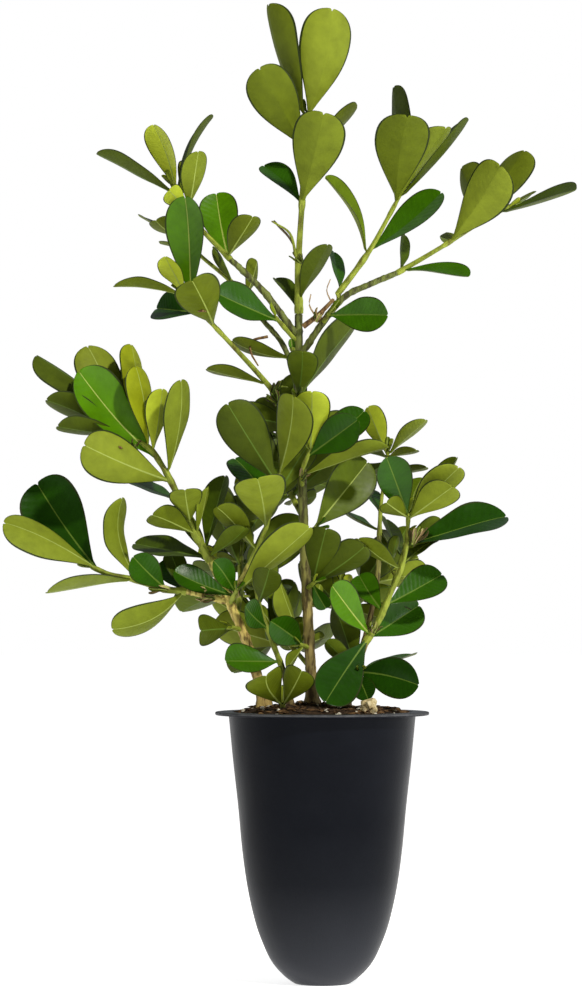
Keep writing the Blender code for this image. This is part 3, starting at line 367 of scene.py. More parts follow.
# Dry papery scales, bud scales and small leaves round a joint: where they sit, which way they point, their
# reach, how many, and their tints.
SCALES = {
    "left_fork_tuft": [((-22.6, -9.2, 103.6), (-0.2, -0.2, 1), 3.6, 9, "bsb")],
    "far_left_spray": [((-29.5, -8.2, 102.6), (-1, -0.1, 0.15), 4.2, 9, "bsb"),
                       ((-41.5, -8, 104.8), (-1, 0, 0.2), 5.5, 5, "obo")],
    "right_stem_spray": [((24.5, -3.2, 117.5), (0.45, -0.2, 1), 5.0, 11, "bsbo"),
                         ((13.8, -1.6, 93.6), (0.3, -0.3, 1), 2.6, 7, "sbo")],
    "left_front_spray": [((-12.4, -6.2, 154.4), (-0.5, -0.3, 1), 4.2, 12, "Osos"),
                         ((-12.6, -6.2, 157.2), (0.6, -0.3, 1), 3.4, 7, "osO")],
    "middle_spray": [((-5.2, -4.2, 134.5), (0.5, -0.4, 0.8), 3.4, 8, "sbs")],
    "left_top_spray": [((-49.5, -11, 142.0), (0.1, -0.3, 1), 3.0, 6, "sos")],
    "right_fork_tuft": [((-1.4, -4.8, 176.5), (0.4, -0.3, 1), 3.2, 8, "bsb")],
    "top_spray": [((-6, -1.5, 192.5), (-0.7, -0.2, 1), 3.2, 5, "oso")],
}
SCALE_WIDTH = 0.55
SCALE_SPREAD = 0.55
SCALE_ROWS = 7

# Buds at growing tips: their length on twigs and on stems, cup and bow of a leaf, and how far it leans out.
TWIG_BUD = 3.2
STEM_BUD = 4.2
BUD_FOLD = (0.7, -0.05)
BUD_LEAN = 0.35

# Dry snags and threads: points, radius at both ends and look.
SNAGS = {
    "right_fork_tuft": [
        ([(-5, -3, 174.6), (-1, -4.4, 177.6), (3, -4.6, 181.6)], (0.75, 0.5), "twig_brown"),
        ([(2.4, -4.8, 181), (1.2, -5.4, 184), (2.2, -5.2, 187)], (0.2, 0.12), "papery_scale"),
        ([(-1.6, -4.6, 177), (-3.4, -5.4, 180), (-3.0, -5, 183)], (0.25, 0.15), "papery_scale")],
    "upper_collar": [
        ([(-14.5, -6.4, 171.6), (-18.6, -7.4, 170.4), (-19, -7.6, 167.4), (-17, -7.2, 163.8)], (0.42, 0.2),
         "twig_brown")],
    "top_spray": [([(-7, -2, 193.4), (-8.6, -3.4, 199.4), (-13.4, -4, 202.6)], (0.45, 0.22), "twig_green")],
}

# Blemishes on leaves listed one by one: mass, row, share of the leaf's length, share of its half width, and
# size.
LEAF_SPOTS = [
    ("left_front_spray", 4, 0.42, 0.3, 0.75),
    ("left_front_spray", 4, 0.38, 0.1, 0.45),
    ("left_top_spray", 1, 0.62, -0.5, 0.6),
    ("upper_left_spray", 1, 0.5, 0.4, 0.4),
]
SPOT_LIFT = 0.12

# A real blade: rows of points up it and columns out from its midrib, the midrib's width and relief, a wavy
# edge, the tip's curl and notch, half its thickness, and the angle in degrees from which an edge is sharp.
LEAF_ROWS = 22
LEAF_COLUMNS = (0.0, 0.25, 0.5, 0.74, 0.93, 1.0)
FINE_ROWS = 10
FINE_COLUMNS = (0.0, 0.45, 0.85, 1.0)
ROW_CROWDING = 1.7
LAST_ROW = 0.9985
FINE_TIP_CURVE = 2.4
RIB_HALF_WIDTH = 0.22
RIB_HEIGHT = 0.2
RIB_SPAN = 0.42
GROOVE_DEPTH = 0.12
EDGE_WAVE = 0.06
EDGE_WAVES = (1.2, 2.2)
SWERVE = 0.02
CUP_CURVE = 1.6
TIP_CURL = (-0.05, 0.03)
CURL_START = 0.55
NOTCH_DEPTH = 0.022
NOTCH_WIDTH = 0.28
STALK_SHARE = 0.14
BLADE_HALF = 0.17
STALK_HALF = 0.16
SHARP_EDGE = 55

# Twigs: points along and round them, swellings where leaves sit, how nearly square they are, their tips, and
# how they reach back into what carries them.
TWIG_STEP = 1.2
TWIG_SIDES = 10
NODE_SWELL = 0.24
NODE_LENGTH = 1.0
TWIG_SQUARE = 0.07
TIP_ROUND = 0.6
ROOT_DEPTH = 3
ROOT_TOUCH = 0.05

# Bark: relief on the stems and boughs, as fissures along them, knobs and rings where leaves once sat.
BARK_STEP = 0.5
BARK_SIDES = 28
FISSURE_DEPTH = 0.16
KNOB_HEIGHT = 0.08
FINE_HEIGHT = 0.03
RING_HEIGHT = 0.22
RING_WIDTH = 0.5
RING_SPACING = 9.0

# Pot: points round it and down its outline, the rounding of its lip, how far out the lip's painted highlight
# starts, its plastic, and a painted reflection of the floor by height.
POT_SIDES = 144
POT_STEP = 1.2
DRAIN_SIDES = 40
LIP_ROUND = 0.32
LIP_POINTS = 5
HIGHLIGHT_INSET = 1.5
POT_SPECULAR = 0.06
POT_GRAIN = 0.00003
POT_WAVES = 0.0002
POT_BLOOM = [(0.35, (0.0026, 0.0034, 0.0060)), (0.65, (0.0042, 0.0052, 0.0084))]
# Painted reflection of the floor: grey added to the pot's colour, more towards its foot.
POT_FLOOR_REFLECTION = [(0.03, (0.034, 0.035, 0.039)), (0.14, (0.022, 0.023, 0.026)), (0.38, (0.0035, 0.0038, 0.0042)),
            (0.6, (0, 0, 0))]

# Potting mix: points across, round and down it, how rough its top is, a low mound, and what lies on it.
MIX_RINGS = 60
MIX_SIDES = 160
MIX_STEP = 3
MIX_ROUGHNESS = 0.55
CRUMB_SCALE = 0.35
CRUMB_MIDDLE = 0.35
MOUND_SPOT = (-5, -3)
MOUND_RADIUS = 9
MOUND_HEIGHT = 1.5
MIX_CHIPS = 520
MIX_GRAINS = 90
CHIP_SIZE = (0.35, 0.95)
CHIP_STRETCH = (1, 2.6)
BARK_SHARE = 0.7
PEBBLE_SPOT = Vector((12, -15.5, 73.6))
PEBBLE_SIZE = 2.3

# Finer twigs: how far apart they leave a stem, their reach, radii and leaves, and how far they turn from the
# back in degrees.
FINE_SPACING = 9.0
FINE_LENGTH = (4, 7)
FINE_RADIUS = (0.34, 0.24)
FINE_LEAF = (9, 6.5)
FINE_PAIRS = 2
FINE_LOWEST_PAIR = 0.55
FINE_SPREAD = 50
FINE_BEARING = 60

# Stage: the floor, the surround's light and what gloss sees of it, from front to back, and each lamp's place,
# size, power and colour.
FLOOR_SIZE = 6000
FLOOR_GLOW = 0.8
SURROUND_LIGHT = 0.42
SURROUND_STOPS = [(0.0, (0.35, 0.35, 0.35)), (0.35, (0.35, 0.35, 0.35)), (0.75, (1, 1, 1))]
SHEEN_LIGHT = 0.42
SHEEN_STOPS = [(0.0, (0.05, 0.05, 0.05)), (0.45, (0.07, 0.07, 0.08)), (0.75, (0.9, 0.95, 1.0))]
LIGHTS_AIM = Vector((0, 0, 130))
LIGHTS = {
    "key_light": ((460, -760, 780), 90, 11, (1.0, 0.97, 0.90)),
    "side_light": ((860, -230, 330), 260, 1.4, (0.95, 0.98, 1.0)),
}


# ---- The rule: paths, leaves and the test that keeps them apart ----

Leaf = namedtuple("Leaf", "base direction normal length cup bow")


def smooth_path(points, apart=PATH_STEP):
    """Points about this far apart on a smooth curve through the given ones."""
    points = [Vector(point) for point in points]
    ends = [points[0] * 2 - points[1], *points, points[-1] * 2 - points[-2]]
    path = []
    for before, start, end, after in zip(ends, ends[1:], ends[2:], ends[3:]):
        steps = max(1, round((end - start).length / apart))
        for step in range(steps):
            t = step / steps
            path.append(0.5 * (2 * start + (end - before) * t
                               + (2 * before - 5 * start + 4 * end - after) * t**2
                               + (3 * start - before - 3 * end + after) * t**3))
    return [*path, points[-1]]


def path_length(path):
    return sum((b - a).length for a, b in zip(path, path[1:]))


def place_on(path, share):
    """Point and direction at a share of a path's length."""
    left = share * path_length(path)
    for a, b in zip(path, path[1:]):
        length = (b - a).length
        if left <= length + ROUNDING:
            return a.lerp(b, left / length), (b - a).normalized()
        left -= length
    return path[-1], (path[-1] - path[-2]).normalized()


def heading(path, index):
    """The turn from straight up to the way that a path runs at one of its points."""
    ahead = path[min(index + 1, len(path) - 1)] - path[max(index - 1, 0)]
    return ahead.to_track_quat("Z", "Y")


def rooted_path(carrier, share, points, radius):
    """The path of a limb or mass, from a cut face that stands SEAT_GAP clear of what carries it."""
    if carrier == "soil":
        foot = Vector((points[0][0], points[0][1], SOIL_TOP + SEAT_GAP))
        return [foot, *smooth_path([foot + UP * FOOT_RISE, *points[1:]])]
    path, (thick, thin) = carrier
    spot, along = place_on(path, share)
    if share == 1:
        return smooth_path([spot + along * SEAT_GAP, *points])
    out = (Vector(points[0]) - spot).normalized()
    lean = out.dot(along)
    level = (out - along * lean).normalized()
    reach = (thick + (thin - thick) * share) + SEAT_GAP + radius * abs(lean)
    return smooth_path([spot + level * reach + along * reach * lean, *points])


def facing_normal(direction, axis, facing):
    """Normal of a leaf's upper side: towards its shoot's tip, rolled until the front sees facing of it."""
    normal = (axis - direction * axis.dot(direction)).normalized()
    across = direction.cross(normal)
    ahead, aside = normal.dot(FRONT), across.dot(FRONT)
    reach = math.hypot(ahead, aside)
    if reach < END_ON:
        return normal
    swing = math.acos(max(-1, min(1, facing / reach)))
    rolls = [math.remainder(math.atan2(aside, ahead) + turn, math.tau) for turn in (swing, -swing)]
    roll = min(rolls, key=abs)
    return normal * math.cos(roll) + across * math.sin(roll)


def swung(leaf, sideways, upwards, size):
    """The leaf turned about its base and scaled."""
    turn = Matrix.Rotation(math.radians(sideways), 3, leaf.normal)
    lift = Matrix.Rotation(math.radians(upwards), 3, leaf.direction.cross(leaf.normal))
    return leaf._replace(direction=lift @ turn @ leaf.direction, normal=lift @ leaf.normal,
                         length=leaf.length * size)


def half_width(share, tip_curve=TIP_CURVE, least=LEAF_TIP):
    """Half width of a blade at a share of its length, where the widest place is 1."""
    if share <= LEAF_WIDEST:
        return math.sin(0.5 * math.pi * (share / LEAF_WIDEST) ** BASE_CURVE)
    beyond = (share - LEAF_WIDEST) / (1 - LEAF_WIDEST)
    return max(least, math.sqrt(max(0, 1 - beyond**tip_curve)))


def blade(leaf, grow=0.0, start=0.0):
    """Points and faces of a leaf: a three-sided stalk, two flat diamond sections and a blunt wedge."""
    base, direction, normal, length, cup, bow = leaf
    across = direction.cross(normal)
    points = []
    for share in LEAF_SECTIONS:
        share = max(share, start)
        wide = max(PETIOLE_WIDTH, half_width(share) * length * LEAF_WIDTH) / 2 + grow
        stalk = max(0, 1 - share / LEAF_SECTIONS[1])
        thick = (LEAF_THICKNESS + (PETIOLE_THICKNESS - LEAF_THICKNESS) * stalk) / 2 + grow
        middle = base + direction * length * share + normal * length * bow * 4 * share * (1 - share)
        edge = normal * cup * wide * (1 - stalk)
        left, right = middle + across * wide + edge, middle - across * wide + edge
        upper, under = middle + normal * thick, middle - normal * thick
        if share == LEAF_SECTIONS[-1]:
            points += [left, right]
        elif stalk and not start:
            points += [left, upper, right]
        else:
            points += [left, upper, right, under]
    if start:
        return points, [(0, 1, 2, 3), *blade_faces(0), *tip_faces(4 * (len(LEAF_SECTIONS) - 2))]
    stalk_faces = [(0, 1, 2), (0, 3, 4), (0, 4, 1), (1, 4, 5), (1, 5, 2), (2, 5, 6), (2, 6, 0), (0, 6, 3)]
    return points, [*stalk_faces, *blade_faces(3), *tip_faces(7)]


def blade_faces(first):
    """The faces between two diamond sections."""
    sides = [(first + side, first + (side + 1) % 4) for side in range(4)]
    return [face for a, b in sides for face in ((a, a + 4, b + 4), (a, b + 4, b))]


def tip_faces(first):
    """The faces from a diamond section to the tip's two points."""
    left, upper, right, under, near, far = range(first, first + 6)
    return [(left, near, upper), (upper, near, far), (upper, far, right),
            (right, far, under), (under, far, near), (under, near, left)]


def circle(sides, radius, start=0.0):
    """(x, y) of points spaced evenly round a circle, the first one start of a space on."""
    angles = [math.tau * (side + start) / sides for side in range(sides)]
    return [(radius * math.cos(angle), radius * math.sin(angle)) for angle in angles]


def ring_faces(rings, sides):
    """Quads that join each ring of points to the next."""
    starts = [(ring * sides + side, ring * sides + (side + 1) % sides)
              for ring in range(rings - 1) for side in range(sides)]
    return [(a, b, b + sides, a + sides) for a, b in starts]


def tube_shape(path, radii, grow=0.0):
    """Points and faces of a tapered tube, for the crossing test."""
    points = []
    for index, spot in enumerate(path):
        turn = heading(path, index)
        radius = radii[0] + (radii[1] - radii[0]) * index / (len(path) - 1) + grow
        points += [spot + turn @ Vector((x, y, 0)) for x, y in circle(TEST_SIDES, radius)]
    return points, ring_faces(len(path), TEST_SIDES)


def measured(shape):
    """Middle, reach and search tree of a shape."""
    points, faces = shape
    middle = sum(points, Vector()) / len(points)
    return middle, max((point - middle).length for point in points), BVHTree.FromPolygons(points, faces)


def crosses(shape, others):
    middle, reach, tree = measured(shape)
    return any((there - middle).length < reach + far and tree.overlap(other) for there, far, other in others)


class Space:
    """The shapes in place: whole for the other masses, and their outer parts for their own mass."""

    def __init__(self):
        self.wholes, self.parts = [], []

    def add(self, owner, whole, part=None):
        self.wholes.append((owner, measured(whole)))
        if part:
            self.parts.append((owner, measured(part)))

    def fits(self, owner, whole, part):
        """True if the whole crosses nothing of the rest, and its outer part nothing of its own mass."""
        rest = (there for mass, there in self.wholes if mass != owner)
        own = (there for mass, there in self.parts if mass == owner)
        return not crosses(whole, rest) and not crosses(part, own)

    def twig_fits(self, owner, twig, radii, gap):
        return self.fits(owner, tube_shape(twig, radii, gap), tube_shape(twig[1:], radii, SELF_CLEARANCE))

    def take_leaf(self, owner, leaf, gap):
        """Puts a leaf in place and returns True, if it stays above the potting mix and crosses nothing."""
        if min(point.z for point in blade(leaf)[0]) < LOWEST_LEAF:
            return False
        if not self.fits(owner, blade(leaf, gap), blade(leaf, SELF_CLEARANCE, FREE_SHARE)):
            return False
        self.add(owner, blade(leaf), blade(leaf, 0.0, FREE_SHARE))
        return True

    def settle(self, owner, leaves):
        """(row, leaf) of the leaves that find a place, each swung or shortened until it crosses nothing."""
        for row, leaf in leaves:
            for tried in least_seen(leaf):
                if self.take_leaf(owner, tried, CLEARANCE):
                    yield row, tried
                    break


def least_seen(leaf):
    """The leaf swung and shortened in every allowed way, those that move its tip least as seen first."""
    tip = leaf.base + leaf.direction * leaf.length

    def shift(turned):
        move = turned.base + turned.direction * turned.length - tip
        return math.hypot(move.x, move.z) + DEPTH_WEIGHT * abs(move.y)

    return sorted((swung(leaf, sideways, upwards, size)
                   for size in SHRINKS for sideways in SWINGS for upwards in SWINGS), key=shift)


def seated_leaf(spot, axis, radius, direction, normal, length, rng):
    """A leaf that starts inside its stem, a little off its axis, and is cupped and bowed by chance."""
    out = (direction - axis * direction.dot(axis)).normalized()
    base = spot - axis * radius + out * radius * LEAF_SEAT
    return Leaf(base, direction, normal, length, rng.uniform(*CUPS), rng.uniform(*BOWS))


def set_leaves(path, radii, rows, rng):
    """The leaves that a mass lists one by one."""
    for share, right, up, length, side, facing in rows:
        spot, axis = place_on(path, share)
        depth = math.sqrt(max(0, length**2 - right**2 - up**2))
        direction = Vector((right, -side * depth, up)).normalized()
        normal = facing_normal(direction, axis, facing)
        yield seated_leaf(spot, axis, radii[1], direction, normal, length, rng)


def paired_leaves(path, radii, pairs, longest, shortest, bearing, rng, low=LOWEST_PAIR,
                  low_spread=LOW_SPREAD):
    """Leaf pairs set crosswise up a shoot, each a quarter turn on from the pair below and more upright."""
    for pair in range(pairs):
        rise = pair / max(1, pairs - 1)
        spot, axis = place_on(path, low + (1 - low) * rise)
        level = axis.orthogonal().normalized()
        spread = math.radians(low_spread + (TIP_SPREAD - low_spread) * rise)
        length = longest + (shortest - longest) * rise
        turn = bearing + 90 * pair + rng.uniform(-BEARING_JITTER, BEARING_JITTER)
        for opposite in (0, 180):
            out = Matrix.Rotation(math.radians(turn + opposite), 3, axis) @ level
            direction = axis * math.cos(spread) + out * math.sin(spread)
            normal = (axis - direction * axis.dot(direction)).normalized()
            roll = math.radians(rng.uniform(-ROLL_JITTER, ROLL_JITTER))
            normal = Matrix.Rotation(roll, 3, direction) @ normal
            size = length * rng.uniform(*SIZE_JITTER)
            yield seated_leaf(spot, axis, radii[1], direction, normal, size, rng)


def side_twigs(path, count, rng):
    """Short twigs that leave a stem towards the plant's back, where nothing else fills the crown."""
    for index in range(count):
        spot, axis = place_on(path, (index + 0.6) / (count + 0.4))
        bearing = math.radians(rng.uniform(-TWIG_BEARING, TWIG_BEARING))
        back = Vector((math.sin(bearing), math.cos(bearing), TWIG_RISE))
        reach = rng.uniform(*TWIG_LENGTH)
        bend = spot + (back + axis * 0.5) * reach * 0.5
        yield smooth_path([spot, bend, spot + (back + axis) * reach])


def stem_leaves(name, path, radii, rng):
    """(row, leaf) of each leaf on a mass's own stem; a leaf grown by the rule has no row."""
    if name in SET_MASSES:
        yield from enumerate(set_leaves(path, radii, SET_MASSES[name][7], rng))
    else:
        for leaf in paired_leaves(path, radii, GROWN_PAIRS, *GROWN_MASSES[name][6:], rng):
            yield None, leaf


def grow_masses(limbs, space):
    """(tubes, leaves) of every mass: the stems first, then their leaves, then side twigs and their leaves."""
    masses = {}
    for name, (carrier, share, points, thick, thin, *_) in MASSES.items():
        path = rooted_path(limbs.get(carrier, carrier), share, points, thick)
        space.add(name, tube_shape(path, (thick, thin), CLEARANCE))
        masses[name] = [(path, (thick, thin))], []
    rules = {name: random.Random(f"{RULE_SEED} {name}") for name in masses}
    for name, (tubes, leaves) in masses.items():
        leaves += space.settle(name, stem_leaves(name, *tubes[0], rules[name]))
    for name, (tubes, leaves) in masses.items():
        rng = rules[name]
        for twig in side_twigs(tubes[0][0], MASSES[name][5], rng):
            bearing = rng.uniform(0, 90)
            grown = list(paired_leaves(twig, TWIG_RADIUS, TWIG_PAIRS, *TWIG_LEAF, bearing, rng,
                                       TWIG_LOWEST_PAIR, TWIG_SPREAD))
            if space.twig_fits(name, twig, TWIG_RADIUS, CLEARANCE):
                space.add(name, tube_shape(twig, TWIG_RADIUS, CLEARANCE), tube_shape(twig[1:], TWIG_RADIUS))
                tubes.append((twig, TWIG_RADIUS))
                leaves += space.settle(name, ((None, leaf) for leaf in grown))
    return masses


# ---- Meshes ----


def add_object(name, data):
    obj = bpy.data.objects.new(name, data)
    bpy.context.scene.collection.objects.link(obj)
    return obj


class Build:
    """Points, faces, each face's material and each point's leaf coordinates, gathered for one piece."""

    def __init__(self, name):
        self.name = name
        self.points, self.faces, self.looks, self.places = [], [], [], []
        self.count = 0

    def add(self, points, faces, looks, places=None):
        points = np.asarray(points, float)
        self.points.append(points)
        self.places.append(np.zeros((len(points), 2)) if places is None else places)
        self.faces.extend(tuple(corner + self.count for corner in face) for face in faces)
        self.looks.extend([looks] * len(faces) if isinstance(looks, str) else looks)
        self.count += len(points)

    def finish(self, slot, replaced=(), sharp=SHARP_EDGE):
        """The mesh object, riding on the plant's one body."""
        mesh = bpy.data.meshes.new(self.name)
        mesh.from_pydata(np.concatenate(self.points) * MM, [], self.faces)
        used = sorted(set(self.looks))
        for look in used:
            mesh.materials.append(MATERIALS[look])
        mesh.polygons.foreach_set("material_index", [used.index(look) for look in self.looks])
        corners = np.empty(len(mesh.loops), np.int32)
        mesh.loops.foreach_get("vertex_index", corners)
        layer = mesh.uv_layers.new(name="leaf")
        layer.data.foreach_set("uv", np.concatenate(self.places)[corners].ravel())
        mesh.shade_smooth()
        mesh.set_sharp_from_angle(angle=math.radians(sharp))
        obj = add_object(self.name, mesh)
        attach(obj, "root")
        if replaced:
            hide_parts(*replaced)
        return obj


def capped_faces(rings, sides):
    """Faces of a skin of rings whose ends are closed by fans to the two points that follow the rings."""
    low, high, top = rings * sides, rings * sides + 1, (rings - 1) * sides
    turns = [(side, (side + 1) % sides) for side in range(sides)]
    return [*ring_faces(rings, sides), *((low, b, a) for a, b in turns),
            *((high, top + a, top + b) for a, b in turns)]


def leaf_half_widths(shares, length, width=1.0):
    """Half width of a real blade at each share of its length: a narrow stalk, a spoon and a round tip."""
    spoon = [half_width(share, FINE_TIP_CURVE, 0) * length * LEAF_WIDTH * width / 2 for share in shares]
    stalk = [PETIOLE_WIDTH / 2 if share < 0.5 else 0 for share in shares]
    return np.maximum(spoon, stalk)


def leaf_grid(length, width, rows, columns):
    """For rows of points up a leaf: share of its length, places across from -1 to 1, and half width."""
    shares = 1 - (1 - np.linspace(0, 1, rows + 1)) ** ROW_CROWDING
    shares[-1] = LAST_ROW
    half = leaf_half_widths(shares, length, width)
    rib = np.clip(RIB_HALF_WIDTH * (1.15 - 0.75 * shares) / half, 0.02, 0.85)[:, None]
    side = np.concatenate([rib, rib + (1 - rib) * np.array(columns[1:])], axis=1)
    across = np.concatenate([-side[:, ::-1], np.zeros((rows + 1, 1)), side], axis=1)
    return shares[:, None], across, half[:, None]


def add_leaf(build, leaf, tint, rng, form=Form(), rows=LEAF_ROWS, columns=LEAF_COLUMNS):
    """A curved leaf whose sides meet in a thin edge, with a grooved midrib above and a raised one below."""
    base, along, normal = np.array(leaf.base), np.array(leaf.direction), np.array(leaf.normal)
    across = np.array(leaf.direction.cross(leaf.normal))
    length = leaf.length
    s, u, wide = leaf_grid(length, form.width, rows, columns)
    reach = np.abs(u)
    curl = rng.uniform(*TIP_CURL)
    if form.curl is not None:
        curl = form.curl
    wave = rng.uniform(-EDGE_WAVE, EDGE_WAVE)
    waves = rng.uniform(*EDGE_WAVES)
    phase = rng.uniform(0, math.tau)
    tip = np.clip((s - CURL_START) / (1 - CURL_START), 0, 1)
    lift = length * (leaf.bow * 4 * s * (1 - s) + curl * tip ** 2)
    lift = lift + wide * (leaf.cup * reach ** CUP_CURVE
                          + wave * reach ** 2 * np.sin(waves * math.tau * s + phase + u))
    swerve = length * rng.uniform(-SWERVE, SWERVE) * np.sin(math.pi * s)
    notch = NOTCH_DEPTH * length * np.exp(-(u / NOTCH_WIDTH) ** 2) * np.clip((s - 0.9) / 0.1, 0, 1)
    middle = (base + along * (length * s - notch)[..., None] + np.multiply.outer(lift, normal)
              + np.multiply.outer(u * wide + swerve, across)
              + np.multiply.outer(length * np.sin(math.pi * s), np.array((form.right, 0, form.up))))
    stalk = np.clip(1 - s / STALK_SHARE, 0, 1)
    thick = (BLADE_HALF + STALK_HALF * stalk) * np.sqrt(np.clip(1 - reach ** 2, 0, 1))
    centre = np.exp(-(u * wide / RIB_SPAN) ** 2)
    upper = middle + np.multiply.outer(thick - GROOVE_DEPTH * centre * (1 - stalk), normal)
    under = middle - np.multiply.outer(thick + RIB_HEIGHT * centre * (1.1 - s), normal)
    places = np.stack([reach * wide / length, np.broadcast_to(s, u.shape)], axis=-1)

    edge = np.ones(u.shape, bool)
    edge[1:-1, 1:-1] = False
    upper[edge] = middle[edge]
    top = np.arange(u.size).reshape(u.shape)
    below = top.copy()
    below[~edge] = u.size + np.arange(np.count_nonzero(~edge))
    faces, looks = [], []
    for row in range(rows):
        for column, pair in enumerate(strip_looks(u.shape[1] - 1, tint, form.plain_rib)):
            corners = [(row, column), (row, column + 1), (row + 1, column + 1), (row + 1, column)]
            faces.append([int(top[at]) for at in corners])
            faces.append([int(below[at]) for at in reversed(corners)])
            looks.extend(pair)
    build.add(np.concatenate([upper.reshape(-1, 3), under[~edge]]), faces, looks,
              np.concatenate([places.reshape(-1, 2), places[~edge]]))


def strip_looks(count, tint, plain_rib):
    """(upper, under) material of each strip of a leaf, from one edge to the other; the outer strips are painted
    shade.
    """
    rib = "rib_green" if tint in DULL_RIB_TINTS else "rib_light"
    names = []
    for strip in range(count):
        from_middle = abs(strip - (count - 1) / 2)
        if from_middle < 1 and not plain_rib:
            names.append((rib, rib))
        # The outermost strips take a dark painted shade along the leaf's edge.
        elif from_middle > count / 2 - 1:
            names.append(("leaf_edge", "leaf_edge"))
        else:
            names.append((f"upper_{tint}", f"under_{tint}"))
    return names


def add_tube(build, path, radius_at, sides, look, relief=None):
    """A closed round tube; radius_at gives its radius at a distance along it, relief what is added there."""
    points, gone = [], 0.0
    for index, spot in enumerate(path):
        if index:
            gone += (spot - path[index - 1]).length
        turn = heading(path, index)
        first, second = turn @ Vector((1, 0, 0)), turn @ Vector((0, 1, 0))
        for side in range(sides):
            angle = math.tau * side / sides
            out = first * math.cos(angle) + second * math.sin(angle)
            radius = radius_at(gone, angle)
            if relief:
                radius += relief(spot + out * radius, gone)
            points.append(spot + out * radius)
    tip = path[-1] + (path[-1] - path[-2]).normalized() * radius_at(gone, 0) * TIP_ROUND
    build.add([*points, path[0], tip], capped_faces(len(path), sides), look)


def rooted_in(carrier, share, path):
    """A path drawn back into the limb, or the potting mix, that it grows from."""
    if carrier == "soil":
        return [path[0] - UP * ROOT_DEPTH, *path]
    spot = place_on(carrier[0], share)[0]
    return [spot, *path] if (spot - path[0]).length > ROOT_TOUCH else path


# ---- Materials ----

MATERIALS = {}


def fill(tree, node, inputs):
    """Sets a node's inputs, each to a value or by a link from another node's output."""
    for key, value in inputs.items():
        if isinstance(value, bpy.types.NodeSocket):
            tree.links.new(value, node.inputs[key])
        else:
            node.inputs[key].default_value = value


def new_node(tree, kind, settings=(), **inputs):
    made = tree.nodes.new(kind)
    for key, value in dict(settings).items():
        setattr(made, key, value)
    fill(tree, made, {key.replace("_", " "): value for key, value in inputs.items()})
    return made


def start_material(name):
    made = bpy.data.materials.new(name)
    made.use_nodes = True
    MATERIALS[name] = made
    tree = made.node_tree
    return tree, tree.nodes["Principled BSDF"]


def noise_at(tree, scale, detail, stretch=None):
    """A noise in the object's own coordinates, in repeats a metre; stretch scales its axes."""
    spot = new_node(tree, "ShaderNodeTexCoord").outputs["Object"]
    if stretch:
        spot = new_node(tree, "ShaderNodeMapping", Vector=spot, Scale=stretch).outputs["Vector"]
    made = new_node(tree, "ShaderNodeTexNoise", Vector=spot, Scale=scale, Detail=detail,
                    Roughness=NOISE_ROUGHNESS)
    return made.outputs["Fac"]


def ramp(tree, value, stops):
    """Colours at positions from 0 to 1 along a value."""
    made = new_node(tree, "ShaderNodeValToRGB", Fac=value)
    marks = made.color_ramp.elements
    while len(marks) < len(stops):
        marks.new(0.5)
    for mark, (place, colour) in zip(marks, stops):
        mark.position = place
        mark.color = (*colour, 1)
    return made.outputs["Color"]


def spread(tree, value, low, high, start=0.3, end=0.7):
    """A value's range from start to end, spread from low to high."""
    made = new_node(tree, "ShaderNodeMapRange", Value=value, From_Min=start, From_Max=end,
                    To_Min=low, To_Max=high)
    return made.outputs["Result"]


def share_along(tree, coordinates, axis, start, end):
    """How far each point lies from start to end along one axis, as a share."""
    spot = new_node(tree, "ShaderNodeTexCoord").outputs[coordinates]
    part = new_node(tree, "ShaderNodeSeparateXYZ", Vector=spot).outputs[axis]
    return spread(tree, part, 0.0, 1.0, start, end)


def blended(tree, kind, share, first, second):
    """Two colours blended into one."""
    made = new_node(tree, "ShaderNodeMix", {"data_type": "RGBA", "blend_type": kind}, Factor=share)
    fill(tree, made, {6: first, 7: second})
    return made.outputs[2]


def bumped(tree, height, distance, strength=1.0, under=None):
    """A relief's normal, on top of another relief if one is given."""
    made = new_node(tree, "ShaderNodeBump", Height=height, Distance=distance, Strength=strength)
    if under:
        fill(tree, made, {"Normal": under})
    return made.outputs["Normal"]


def tone(colour, factor):
    return tuple(min(1.0, part * factor) for part in colour)


def leaf_material(name, colour, rough, coat, vein):
    """A leaf's side: mottled a little, with side veins in relief that run forward from the midrib."""
    tree, shader = start_material(name)
    where = new_node(tree, "ShaderNodeUVMap", {"uv_map": "leaf"}).outputs["UV"]
    turned = new_node(tree, "ShaderNodeMapping", Vector=where, Rotation=(0, 0, math.radians(VEIN_ANGLE)))
    veins = new_node(tree, "ShaderNodeTexWave", {"bands_direction": "Y"}, Vector=turned.outputs["Vector"],
                     Scale=VEIN_SCALE, Distortion=2.0, Detail=1.0)
    first = bumped(tree, veins.outputs["Fac"], vein)
    fill(tree, shader, {
        "Base Color": ramp(tree, noise_at(tree, 230, 7),
                           [(0.3, tone(colour, 0.82)), (0.5, colour), (0.7, tone(colour, 1.16))]),
        "Roughness": spread(tree, noise_at(tree, 900, 2), rough - 0.06, rough + 0.08),
        "Specular IOR Level": LEAF_SPECULAR,
        "Coat Weight": coat,
        "Coat Roughness": COAT_ROUGHNESS,
        "Normal": bumped(tree, noise_at(tree, 1500, 3), LEAF_GRAIN, 0.7, first),
    })


def plain_material(name, colours, scale, rough, bump, stretch=None):
    """A surface mottled between its colours, with a fine relief of the same kind."""
    tree, shader = start_material(name)
    places = np.linspace(0.34, 0.66, len(colours))
    fine = noise_at(tree, scale * 3, 3, stretch)
    fill(tree, shader, {
        "Base Color": ramp(tree, noise_at(tree, scale, 4, stretch), [*zip(map(float, places), colours)]),
        "Roughness": spread(tree, fine, *rough),
        "Specular IOR Level": PLAIN_SPECULAR,
        "Normal": bumped(tree, fine, bump),
    })


